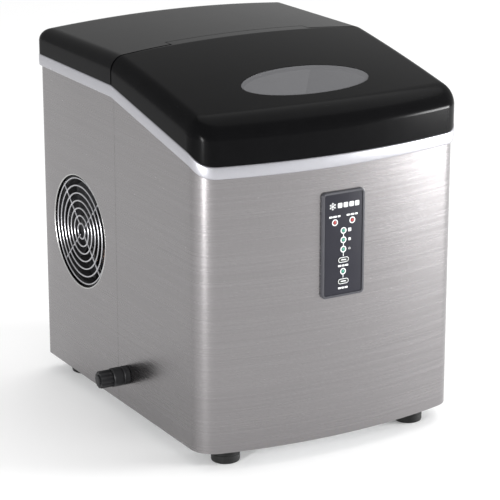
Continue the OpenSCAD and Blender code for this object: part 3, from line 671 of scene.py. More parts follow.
@dataclass(frozen=True)
class Finish:
    """How one surface looks: its base, its grain at true scale, its edge wear (a painted highlight on the bezel)
    and its dust.
    """

    name: str
    slot: str
    colour: Colour
    roughness: float
    metallic: float = 0.0
    coat: float = 0.0
    stretch: Colour = (900.0, 900.0, 900.0)
    streak: Colour = (60.0, 60.0, 60.0)
    mottle: float = 0.08
    rough_swing: float = 0.06
    relief: float = 0.00003
    # Edge mask strength and colour: rubbed wear, and on the bezel a painted highlight.
    wear_and_highlight: float = 0.15
    wear_and_highlight_colour: Colour = (0.35, 0.35, 0.35)
    dust: float = 0.05
    alpha: float = 1.0
    glow: float = 0.0
    ior: float = 1.5

    def build(self, groups: dict[str, bpy.types.NodeTree]) -> bpy.types.Material:
        """Builds the material's nodes.

        Args:
            groups: The shared node groups by name.

        Returns:
            The finished material.
        """
        mat = bpy.data.materials.new(self.name)
        mat.use_nodes = True
        tree = mat.node_tree
        links = tree.links
        shader = tree.nodes["Principled BSDF"]
        shader.inputs["Metallic"].default_value = self.metallic
        shader.inputs["Coat Weight"].default_value = self.coat
        shader.inputs["Coat Roughness"].default_value = 0.05
        shader.inputs["Alpha"].default_value = self.alpha
        shader.inputs["IOR"].default_value = self.ior
        if self.glow:
            shader.inputs["Emission Color"].default_value = (*self.colour, 1)
            shader.inputs["Emission Strength"].default_value = self.glow
        place = tree.nodes.new("ShaderNodeTexCoord").outputs["Object"]

        def placed(name: str, **values: float) -> bpy.types.Node:
            """Places a shared group with its own values.

            Args:
                name: The group's name.
                values: Values for its inputs.

            Returns:
                The group node.
            """
            node = tree.nodes.new("ShaderNodeGroup")
            node.node_tree = groups[name]
            if "Vector" in node.inputs:
                links.new(place, node.inputs["Vector"])
            for label, value in values.items():
                node.inputs[label].default_value = value
            return node

        fine = placed("surface_grain", Stretch=self.stretch, Detail=3.0).outputs["Value"]
        broad = placed("surface_grain", Stretch=self.streak, Detail=2.0).outputs["Value"]
        both = math_node(tree, "MULTIPLY", math_node(tree, "ADD", fine, broad), 0.5)

        def mix(
            mask: bpy.types.NodeSocket, a: bpy.types.NodeSocket | Colour, b: bpy.types.NodeSocket | Colour
        ) -> bpy.types.NodeSocket:
            """Mixes two colours by a mask.

            Args:
                mask: How much of the second colour shows.
                a: The first colour.
                b: The second colour.

            Returns:
                The mixed colour.
            """
            node = tree.nodes.new("ShaderNodeMix")
            node.data_type = "RGBA"
            links.new(mask, node.inputs["Factor"])
            for socket, value in ((node.inputs[6], a), (node.inputs[7], b)):
                if isinstance(value, bpy.types.NodeSocket):
                    links.new(value, socket)
                else:
                    socket.default_value = (*value, 1)
            return node.outputs[2]

        dark = tuple(c * (1 - 2 * self.mottle) for c in self.colour)
        pale = tuple(min(c * (1 + 2 * self.mottle), 1.0) for c in self.colour)
        colour = mix(both, dark, pale)
        # Edge mask: rubbed wear on most finishes; on the bezel it paints a highlight along the rim.
        if self.wear_and_highlight:
            colour = mix(placed("edge_wear_and_highlight", Amount=self.wear_and_highlight).outputs["Mask"], colour, self.wear_and_highlight_colour)
        rough = math_node(tree, "MULTIPLY_ADD", both, 2 * self.rough_swing)
        rough.node.inputs[2].default_value = self.roughness - self.rough_swing
        if self.dust:
            film = placed("settled_dust", Amount=self.dust, Scale=30.0).outputs["Mask"]
            colour = mix(film, colour, DUST_COLOUR)
            rough = math_node(tree, "ADD", rough, film)
        links.new(colour, shader.inputs["Base Color"])
        links.new(rough, shader.inputs["Roughness"])
        if self.relief:
            bump = tree.nodes.new("ShaderNodeBump")
            bump.inputs["Strength"].default_value = 0.5
            bump.inputs["Distance"].default_value = self.relief
            links.new(fine, bump.inputs["Height"])
            links.new(bump.outputs[0], shader.inputs["Normal"])
        return mat


BRUSH = (10.0, 10.0, 1500.0)
BRUSH_STREAK = (5.0, 5.0, 420.0)
FINISHES: tuple[Finish, ...] = (
    Finish("brushed_steel", "brushed_steel", (0.238, 0.229, 0.232), 0.27, 1.0, stretch=BRUSH, streak=BRUSH_STREAK,
           mottle=0.07, rough_swing=0.05, relief=0.00001, wear_and_highlight=0.0, dust=0.0),
    # The edge mask lightens the band's outer rims almost to white.
    Finish("silver_trim", "silver_trim", (0.36, 0.36, 0.385), 0.34, 0.75, coat=0.1, mottle=0.02, rough_swing=0.03,
           relief=0.0, wear_and_highlight=0.1, wear_and_highlight_colour=(0.9, 0.9, 0.9), dust=0.0),
    Finish("gloss_black", "black_gloss", (0.003, 0.003, 0.0033), 0.20, mottle=0.2, rough_swing=0.03,
           relief=0.000003, wear_and_highlight=0.0, dust=0.0, ior=1.12),
    Finish("satin_black", "black_matte", (0.010, 0.010, 0.011), 0.42, mottle=0.2, relief=0.00004, dust=0.0,
           wear_and_highlight=0.05, ior=1.28),
    Finish("smoked_window", "window", (0.19, 0.19, 0.20), 0.08, alpha=0.62, mottle=0.03,
           rough_swing=0.01, relief=0.0, wear_and_highlight=0.0, dust=0.0, ior=1.3),
    # Painted reflection: a pale sheet seen through the pane's left part stands in for the reflection that lightens
    # it.
    Finish("painted_reflection_film", "window", (0.62, 0.62, 0.63), 0.5, mottle=0.02, relief=0.0, wear_and_highlight=0.0, dust=0.0),
    Finish("panel_charcoal", "panel_dark", (0.016, 0.016, 0.022), 0.30, mottle=0.06, relief=0.0,
           wear_and_highlight=0.0, dust=0.0, ior=1.28),
    # The bezel's edge mask is a painted highlight: it lightens the rim as if lit.
    Finish("bezel_grey", "panel_dark", (0.026, 0.026, 0.032), 0.30, mottle=0.05, relief=0.0,
           wear_and_highlight=0.25, wear_and_highlight_colour=(0.35, 0.35, 0.38), dust=0.0, ior=1.45),
    Finish("printed_white", "silver_trim", (0.66, 0.67, 0.67), 0.5, mottle=0.02, relief=0.0, wear_and_highlight=0.0, dust=0.0,
           ior=1.2),
    Finish("red_lamp", "red_lamp", (0.30, 0.03, 0.03), 0.3, mottle=0.1, relief=0.0, wear_and_highlight=0.0, dust=0.0, glow=0.06),
    Finish("green_lamp", "green_lamp", (0.04, 0.22, 0.15), 0.3, mottle=0.1, relief=0.0, wear_and_highlight=0.0, dust=0.0,
           glow=0.06),
    Finish("rubber", "rubber", (0.011, 0.011, 0.011), 0.55, mottle=0.25, relief=0.00006, wear_and_highlight=0.0, dust=0.0,
           ior=1.3),
    Finish("plain_steel", "steel_plain", (0.55, 0.55, 0.54), 0.34, 1.0, streak=(200.0, 200.0, 200.0)),
    Finish("bright_wire", "wire", (0.50, 0.50, 0.52), 0.28, 1.0, mottle=0.05, wear_and_highlight=0.0, dust=0.0),
    Finish("galvanised", "galvanised", (0.50, 0.51, 0.52), 0.45, 0.9, stretch=(140.0, 140.0, 140.0), mottle=0.18),
    Finish("aluminium", "aluminium", (0.74, 0.75, 0.76), 0.36, 1.0, stretch=(1500.0, 30.0, 30.0)),
    Finish("copper", "copper", (0.62, 0.29, 0.17), 0.30, 1.0, mottle=0.15, streak=(40.0, 40.0, 40.0)),
    Finish("valve_brass", "brass_valve", (0.60, 0.46, 0.20), 0.32, 1.0, mottle=0.1),
    Finish("black_enamel", "black_enamel", (0.012, 0.012, 0.013), 0.24, coat=0.4, relief=0.00005),
    Finish("board_green", "board_green", (0.018, 0.10, 0.045), 0.42, mottle=0.3, streak=(500.0, 500.0, 500.0)),
    Finish("tank_white", "tank_white", (0.70, 0.72, 0.73), 0.38, mottle=0.03, wear_and_highlight=0.05),
    Finish("foam", "foam", (0.62, 0.52, 0.30), 0.9, mottle=0.2, relief=0.0004, stretch=(350.0, 350.0, 350.0)),
    Finish("basket_silver", "basket_silver", (0.52, 0.54, 0.56), 0.33, 0.3, mottle=0.04),
    Finish("nickel", "nickel", (0.66, 0.64, 0.60), 0.22, 1.0, mottle=0.06),
    Finish("clear_tray", "tray_clear", (0.80, 0.84, 0.86), 0.10, alpha=0.55, mottle=0.02, relief=0.0, dust=0.0),
    Finish("grey_hose", "hose_grey", (0.36, 0.37, 0.38), 0.5, mottle=0.05),
    Finish("seal_red", "seal_red", (0.40, 0.05, 0.03), 0.6, mottle=0.1),
)


class Workshop:
    """Builds every finish once and hands it out by name or by material slot."""

    def __init__(self) -> None:
        """Builds the shared groups and all the finishes."""
        groups = {"surface_grain": grain_group(), "settled_dust": dust_group(), "edge_wear_and_highlight": wear_and_highlight_group()}
        self.by_name = {f.name: f.build(groups) for f in FINISHES}
        self.slots = {f.name: f.slot for f in FINISHES}
        self.by_slot: dict[str, bpy.types.Material] = {}
        for finish in FINISHES:
            self.by_slot.setdefault(finish.slot, self.by_name[finish.name])
        log.info("built %d finishes", len(FINISHES))

    def piece(
        self, bm: bmesh.types.BMesh, name: str, finish: str, body: str = "cabinet",
        stands_for: Sequence[str] = (), sharp: float = 32.0,
    ) -> bpy.types.Object:
        """Makes a piece of a bmesh in one of the finishes.

        Args:
            bm: The shape, freed here.
            name: The piece's name.
            finish: The finish's name.
            body: The body it rides on.
            stands_for: CAD nodes it replaces.
            sharp: Angle in degrees past which an edge stays crisp.

        Returns:
            The piece.
        """
        return new_piece(bm, name, body, self.by_name[finish], stands_for, sharp)

    def dress_cad(self) -> None:
        """Gives every CAD node that still shows the finish of its own material slot."""
        for part in frame["record"]["subparts"]:
            node = frame["nodes"][part["node"]]
            node.data.materials.clear()
            node.data.materials.append(self.by_slot[part["material_slot"]])
        log.info("dressed %d CAD nodes", len(frame["nodes"]))


# ---------------------------------------------------------------- casing


@dataclass
class Casing:
    """The two brushed sheets, the trim band round their top, and the feet."""

    sheet: float = 0.001
    top_tuck: float = 0.0006
    fan_radius: float = 0.0585
    drain_radius: float = 0.0072
    window_half: tuple[float, float] = (0.0205, 0.049)
    inlet_low: Colour = (-0.086, 0.17, 0.046)
    inlet_high: Colour = (-0.058, 0.19, 0.066)
    foot_radius: float = 0.014
    foot_places: tuple[tuple[float, float], ...] = ((0.105, -0.14025), (0.113, 0.14825))
    slot_rows: int = 10
    slot_pitch: tuple[float, float] = (0.062, 0.016)
    slot_size: tuple[float, float] = (0.048, 0.005)
    slot_low: float = 0.1225

    def build(self, shop: Workshop) -> None:
        """Makes the sheets, the fan opening's lip, the band and the feet.

        Args:
            shop: Hands out finishes and makes the pieces.
        """
        front = outline_wall(0.0, self.sheet, Run.FRONT, lambda y: FORM.foot_top, self.sheet_top)
        x, z = self.window_half
        front = carve(front, box_form((-x, -0.2, PANEL_Z - z), (x, -0.16, PANEL_Z + z)))
        front = carve(front, self.side_hole(DRAIN_Y, DRAIN_Z, self.drain_radius))
        shop.piece(front, "front_sheet", "brushed_steel", stands_for=["front_casing"])
        rear = outline_wall(0.0, self.sheet, Run.REAR, lambda y: FORM.foot_top, self.sheet_top)
        rear = carve(rear, self.side_hole(FAN_Y, FAN_Z, self.fan_radius))
        rear = carve(rear, self.louvre_cutter())
        rear = carve(rear, box_form(self.inlet_low, self.inlet_high))
        shop.piece(rear, "rear_sheet", "brushed_steel", stands_for=["rear_casing"])
        lip = ring(self.fan_radius, 0.0007, (-FORM.half_width + 0.0005, FAN_Y, FAN_Z), X_AXIS)
        shop.piece(lip, "fan_opening_lip", "plain_steel")
        shop.piece(self.band(), "trim_ring", "silver_trim", stands_for=["trim_band"], sharp=50)
        shop.piece(self.feet(), "rubber_feet", "rubber", stands_for=["feet"])

    @staticmethod
    def sheet_top(y: float) -> float:
        """Height of the sheets' upper edge at a Y, tucked up into the band."""
        return FORM.band_top(y) - FORM.band_height + Casing.top_tuck

    def side_hole(self, y: float, z: float, radius: float) -> bmesh.types.BMesh:
        """A round cutter through the left side."""
        profile = [(0.0, 0.0), (radius, 0.0), (radius, 0.03), (0.0, 0.03)]
        return lathe(profile, (-FORM.half_width - 0.015, y, z), X_AXIS, 96)

    def louvre_cutter(self) -> bmesh.types.BMesh:
        """Rows of round-ended slots through the back.

        Returns:
            The closed cutters, as one bmesh.
        """
        slots = []
        for row in range(self.slot_rows):
            for column in (-1, 0, 1):
                slot = round_plate(*self.slot_size, 0.03, 0.0024)
                across, up = self.slot_pitch
                place = (column * across, FORM.rear_y + 0.012, self.slot_low + row * up)
                bmesh.ops.translate(slot, vec=place, verts=slot.verts)
                slots.append(slot)
        return merge(slots)

    def band(self) -> bmesh.types.BMesh:
        """The bright band that follows the sloping top edge all round.

        Returns:
            The closed band.
        """
        bm = bmesh.new()
        draw_outline(bm, FORM.band_out, Run.WHOLE)
        base = bm.verts[:]
        top, _ = pull_rim(bm, bm.edges[:])
        for vert in top:
            vert.co.z = FORM.band_top(vert.co.y)
        for vert in base:
            vert.co.z = FORM.band_top(vert.co.y) - FORM.band_height
        face_right(bm, faces_out_sideways)
        bmesh.ops.solidify(bm, geom=bm.faces[:], thickness=FORM.band_out + 0.0030)
        rims = [
            e for e in bm.edges
            if len(e.link_faces) == 2 and e.calc_face_angle(0) > 1.0 and self.is_outer(e)
        ]
        bmesh.ops.bevel(
            bm, geom=rims, offset=0.0013, segments=3, profile=0.5, affect="EDGES",
            material=-1, clamp_overlap=True,
        )
        return bm

    def is_outer(self, edge: bmesh.types.BMEdge) -> bool:
        """Whether an edge of the band lies on its outer face.

        Args:
            edge: An edge of the band.

        Returns:
            True if it is an outer one.
        """
        x, y = (edge.verts[0].co + edge.verts[1].co).xy / 2
        grow = FORM.band_out - 0.0015
        inside = FORM.front_at(x, grow) < y < FORM.back_at(x, grow)
        return not (inside and abs(x) < FORM.half_width + grow)

    def feet(self) -> bmesh.types.BMesh:
        """Four turned rubber feet with a groove and a hollow under each.

        Returns:
            The four feet as one bmesh.
        """
        r, top = self.foot_radius, FORM.foot_top
        profile = [
            (0.0, 0.007), (0.006, 0.006), (0.006, 0.0), (r - 0.0015, 0.0), (r - 0.0004, 0.0006), (r, 0.0018),
            (r, 0.0075), (r - 0.0009, 0.0085), (r - 0.0009, 0.0095), (r, 0.0105), (r, top - 0.0002), (0.0, top),
        ]
        places = [(side * x, y, 0.0) for side in (-1, 1) for x, y in self.foot_places]
        return merge([lathe(profile, place, Z_AXIS) for place in places])


# ---------------------------------------------------------------- lid and rear cover


@dataclass
class Covers:
    """The sloping lid with its window, and the fixed rear cover behind its hinge."""

    wall: float = 0.003
    columns: int = 120
    skirt_gap: float = 0.0004
    lid_edge: float = 0.3233
    lid_side_drop: float = 0.0165
    rear_edge: float = 0.356
    lid_back: float = 0.0086
    lid_gap: float = 0.0028
    swing_gap: float = 0.0006
    swing_scale: float = 1.2
    lid_travel: float = 75.0
    tongue_front: float = 0.0100
    tongue_back: float = 0.0237
    tongue_half: float = 0.0776
    rear_front: float = 0.0108
    side_shoulder: float = 0.0135
    front_shoulder: float = 0.024
    back_shoulder: float = 0.019
    window_y: float = -0.111
    window_a: float = 0.0685
    window_b: float = 0.031
    window_reach: tuple[float, float] = (0.30, 0.40)
    notch_half: float = 0.0785
    notch_back: float = 0.0246
    well_half: float = 0.0784
    well_end: float = 0.1310
    well_radius: float = 0.0184
    well_top: float = 17.0
    side_well_radii: tuple[float, float] = (0.0080, 0.0036)
    side_well_top: float = 24.0

    def build(self, shop: Workshop) -> None:
        """Makes the lid, its window, the rear cover and the wells that the hinge turns in.

        Args:
            shop: Hands out finishes and makes the pieces.
        """
        lid = self.cover_shell(self.lid_height, self.lid_front, self.lid_rear, 96, 1.0)
        lid = carve(lid, self.oval_block(0.0))
        lid = merge([lid, self.tongue(), self.window_seat(), *self.lugs()])
        shop.piece(lid, "lid_shell", "gloss_black", "lid", ["lid"], sharp=28)
        # A pale sheet under the pane's left part paints the lighter reflection there.
        shop.piece(self.film(), "window_reflection_film", "painted_reflection_film", "lid")
        shop.piece(self.window(), "lid_window_pane", "smoked_window", "lid", ["lid_window"])
        rear = self.cover_shell(self.rear_height, self.rear_start, self.rear_end, 72, -1.0)
        half = self.notch_half
        rear = carve(rear, box_form((-half, -0.02, 0.345), (half, self.notch_back, 0.40)))
        rear = merge([rear, *self.wells(), *self.posts()])
        shop.piece(rear, "rear_cover_shell", "gloss_black", "cabinet", ["rear_cover"], sharp=28)

    def lid_front(self, x: float) -> float:
        """Front edge of the lid at a place across."""
        return FORM.front_at(x, FORM.cover_out)

    def lid_rear(self, x: float) -> float:
        """Back edge of the lid at a place across."""
        return max(self.lid_back, self.rear_start(x) - self.lid_gap)

    def rear_start(self, x: float) -> float:
        """Front edge of the rear cover at a place across, clear of the lid's swing.

        Args:
            x: Place across.

        Returns:
            The edge's Y.
        """
        top = FORM.hinge_drop - FORM.crown(x)
        reach = self.swing_scale * top + self.swing_gap
        swing = math.sqrt(max(reach * reach - top * top, 0.0)) if abs(x) < FORM.roof_half else 0.0
        return max(self.rear_front, FORM.hinge_y + swing)

    def rear_end(self, x: float) -> float:
        """Back edge of the rear cover at a place across."""
        return FORM.back_at(x, FORM.cover_out)

    @staticmethod
    def shoulder(depth: float, width: float) -> float:
        """How far up its rounded shoulder a roof has come at a depth from its edge, 0 to 1."""
        t = min(max(depth / width, 0.0), 1.0)
        return (1 - (1 - t) ** 2) ** 0.55

    @staticmethod
    def joined(one: float, two: float) -> float:
        """Two shoulders run together into a full, rounded corner."""
        return max(1 - ((1 - one) ** 3 + (1 - two) ** 3) ** (1 / 3), 0.0)

    def lid_height(self, x: float, y: float) -> float:
        """Height of the lid's top surface.

        Args:
            x: Place across.
            y: Place from front to back.

        Returns:
            Height above the floor.
        """
        edge = max(self.lid_edge, FORM.lid_roof(FORM.roof_half, y) - self.lid_side_drop)
        half = FORM.half_width + FORM.cover_out
        rise = self.joined(
            self.shoulder(half - abs(x), self.side_shoulder),
            self.shoulder(y - self.lid_front(x), self.front_shoulder),
        )
        return edge + (FORM.lid_roof(x, y) - edge) * rise

    def rear_height(self, x: float, y: float) -> float:
        """Height of the rear cover's top surface.

        Args:
            x: Place across.
            y: Place from front to back.

        Returns:
            Height above the floor.
        """
        half = FORM.half_width + FORM.cover_out
        rise = self.joined(
            self.shoulder(half - abs(x), self.side_shoulder),
            self.shoulder(self.rear_end(x) - y, self.back_shoulder),
        )
        return self.rear_edge + (FORM.rear_roof(x, y) - self.rear_edge) * rise

    def cover_shell(
        self,
        height: Callable[[float, float], float],
        start: Callable[[float], float],
        end: Callable[[float], float],
        rows: int,
        gap_side: float,
    ) -> bmesh.types.BMesh:
        """A crowned roof with upright skirts, as one moulded wall.

        Args:
            height: The top surface's height at (x, y).
            start: The front edge's Y at an x.
            end: The back edge's Y at an x.
            rows: Rows of faces from front to back.
            gap_side: 1 if the gap between the covers is at its back, -1 if at its front.

        Returns:
            The closed shell.
        """
        bm = bmesh.new()
        bmesh.ops.create_grid(bm, x_segments=self.columns, y_segments=rows, size=1.0)
        half = FORM.half_width + FORM.cover_out
        rim = [e for e in bm.edges if e.is_boundary]
        skirt_rim = [e for e in rim if not self.across_gap(e, gap_side)]
        for vert in bm.verts:
            s, t = vert.co.x, vert.co.y
            x = half * math.sin(s * math.pi / 2)
            eased = (1 + math.sin(t * math.pi / 2)) / 2
            front, back = start(x), end(x)
            y = front + (back - front) * eased
            vert.co = (x, y, height(x, y))
        tips, _ = pull_rim(bm, skirt_rim)
        for vert in tips:
            vert.co.z = FORM.band_top(vert.co.y) + self.skirt_gap
        face_right(bm, lambda s: min(s.faces, key=lambda f: f.calc_center_median().xy.length).normal.z >= 0)
        bmesh.ops.solidify(bm, geom=bm.faces[:], thickness=self.wall)
        return bm

    @staticmethod
    def across_gap(edge: bmesh.types.BMEdge, gap_side: float) -> bool:
        """Whether a rim edge of the flat grid faces the gap between lid and rear cover."""
        return all(abs(v.co.y - gap_side) < 1e-6 for v in edge.verts)

    def tongue(self) -> bmesh.types.BMesh:
        """The level tab that carries the lid's roof back over the hinge.

        Returns:
            The closed tab.
        """
        bm = bmesh.new()
        bmesh.ops.create_grid(bm, x_segments=48, y_segments=6, size=1.0)
        for vert in bm.verts:
            x = vert.co.x * self.tongue_half
            y = self.tongue_front + (vert.co.y + 1) / 2 * (self.tongue_back - self.tongue_front)
            vert.co = (x, y, FORM.lid_roof(x, y) - 0.00002)
        face_right(bm, lambda sheet: sheet.faces[:][0].normal.z >= 0)
        bmesh.ops.solidify(bm, geom=bm.faces[:], thickness=self.wall)
        return bm

    def oval_block(self, grow: float) -> bmesh.types.BMesh:
        """A closed oval block through the roof at the window's place.

        Args:
            grow: How far outside the window its side lies.

        Returns:
            The closed block.
        """
        low, high = self.window_reach
        bm = bmesh.new()
        bmesh.ops.create_circle(bm, cap_ends=True, segments=96, radius=1.0)
        bmesh.ops.scale(bm, vec=(self.window_a + grow, self.window_b + grow, 1), verts=bm.verts)
        bmesh.ops.translate(bm, vec=(0, self.window_y, low), verts=bm.verts)
        made = bmesh.ops.extrude_face_region(bm, geom=bm.faces[:])["geom"]
        lifted = [v for v in made if isinstance(v, bmesh.types.BMVert)]
        bmesh.ops.translate(bm, vec=(0, 0, high - low), verts=lifted)
        bmesh.ops.recalc_face_normals(bm, faces=bm.faces)
        return bm

    def oval_sheet(self, scale_in: float, drop: float) -> bmesh.types.BMesh:
        """An oval patch of the roof surface.

        Args:
            scale_in: How much smaller than the opening it is.
            drop: How far below the roof it lies.

        Returns:
            The open patch, facing up.
        """
        bm = bmesh.new()
        bmesh.ops.create_circle(bm, segments=96, radius=1.0)
        rims = bm.edges[:]
        for _ in range(9):
            inner, rims = pull_rim(bm, rims)
            now = max(v.co.length for v in inner)
            bmesh.ops.scale(bm, vec=[(now - 0.105) / now] * 3, verts=inner)
        bmesh.ops.contextual_create(bm, geom=rims)
        for vert in bm.verts:
            x = vert.co.x * (self.window_a - scale_in)
            y = self.window_y + vert.co.y * (self.window_b - scale_in)
            vert.co = (x, y, FORM.lid_roof(x, y) - drop)
        face_right(bm, lambda sheet: sum(f.normal.z for f in sheet.faces) >= 0)
        return bm

    def window(self) -> bmesh.types.BMesh:
        """The smoked pane, level with the roof.

        Returns:
            The closed pane.
        """
        bm = self.oval_sheet(0.0004, 0.0003)
        bmesh.ops.solidify(bm, geom=bm.faces[:], thickness=0.0022)
        return bm

    def film(self) -> bmesh.types.BMesh:
        """A pale sheet under the left part of the pane, cut on a slant, that paints a lighter reflection on that
        part of the window.

        Returns:
            The closed film.
        """
        bm = self.oval_sheet(0.0010, 0.0032)
        slant = Vector((0.058, -0.042, 0)).normalized()
        bmesh.ops.bisect_plane(
            bm, geom=bm.verts[:] + bm.edges[:] + bm.faces[:], plane_co=(0.011, -0.099, 0.35),
            plane_no=slant, clear_outer=True,
        )
        bm.normal_update()
        bmesh.ops.solidify(bm, geom=bm.faces[:], thickness=0.0003)
        return bm

    def window_seat(self) -> bmesh.types.BMesh:
        """The narrow ledge under the pane's edge.

        Returns:
            The closed ledge.
        """
        bm = self.oval_sheet(-0.004, 0.0030)
        bmesh.ops.solidify(bm, geom=bm.faces[:], thickness=0.0015)
        return carve(bm, self.oval_block(-0.003))

    def lugs(self) -> list[bmesh.types.BMesh]:
        """The lid's two hinge lugs, each a ring with a web up to the roof.

        Returns:
            A ring and a web for each side.
        """
        made = []
        for side in (-1, 1):
            start = (side * 0.0575, FORM.hinge_y, FORM.hinge_z)
            profile = [(0.0022, 0.0), (0.0052, 0.0), (0.0055, 0.0003), (0.0055, 0.0077), (0.0052, 0.008),
                       (0.0022, 0.008), (0.0022, 0.0)]
            made.append(lathe(profile, start, X_AXIS * side, 32))
            a, b = sorted((side * 0.0579, side * 0.0651))
            made.append(box_form((a, 0.0045, 0.3700), (b, 0.0125, 0.3742), 0.0004))
        return made

    def wells(self) -> list[bmesh.types.BMesh]:
        """Rounded troughs that close the rear cover's front round the hinge.

        Returns:
            The middle trough and the two at the sides.
        """
        made = []
        half, end, (wide, narrow) = self.well_half, self.well_end, self.side_well_radii
        spans = [
            ((-half, self.well_radius), (half, self.well_radius), self.well_top),
            ((half, wide), (end, narrow), self.side_well_top),
            ((-end, narrow), (-half, wide), self.side_well_top),
        ]
        for left, right, top_angle in spans:
            bm = bmesh.new()
            first = math.radians(top_angle)
            tips = [
                bm.verts.new((x, FORM.hinge_y + r * math.cos(first), FORM.hinge_z + r * math.sin(first)))
                for x, r in (left, right)
            ]
            edge = bm.edges.new(tips)
            bmesh.ops.spin(
                bm, geom=[*tips, edge], cent=(0, FORM.hinge_y, FORM.hinge_z), axis=X_AXIS,
                angle=-first - math.radians(self.lid_travel), steps=20,
            )
            face_right(bm, lambda sheet: sheet.faces[:][0].normal.y <= 0)
            bmesh.ops.solidify(bm, geom=bm.faces[:], thickness=0.0015)
            made.append(bm)
        return made

    def posts(self) -> list[bmesh.types.BMesh]:
        """The rear cover's two posts that hold the hinge pins.

        Returns:
            A boss and a web for each side.
        """
        made = []
        for side in (-1, 1):
            start = (side * 0.067, FORM.hinge_y, FORM.hinge_z)
            profile = [(0.0, 0.0), (0.0026, 0.0), (0.0029, 0.0003), (0.0029, 0.0087), (0.0026, 0.009),
                       (0.0, 0.009)]
            made.append(lathe(profile, start, X_AXIS * side, 32))
            a, b = sorted((side * 0.0671, side * 0.0759))
            made.append(box_form((a, 0.0090, 0.3505), (b, 0.0115, 0.3685), 0.0003))
        return made


# ---------------------------------------------------------------- control panel


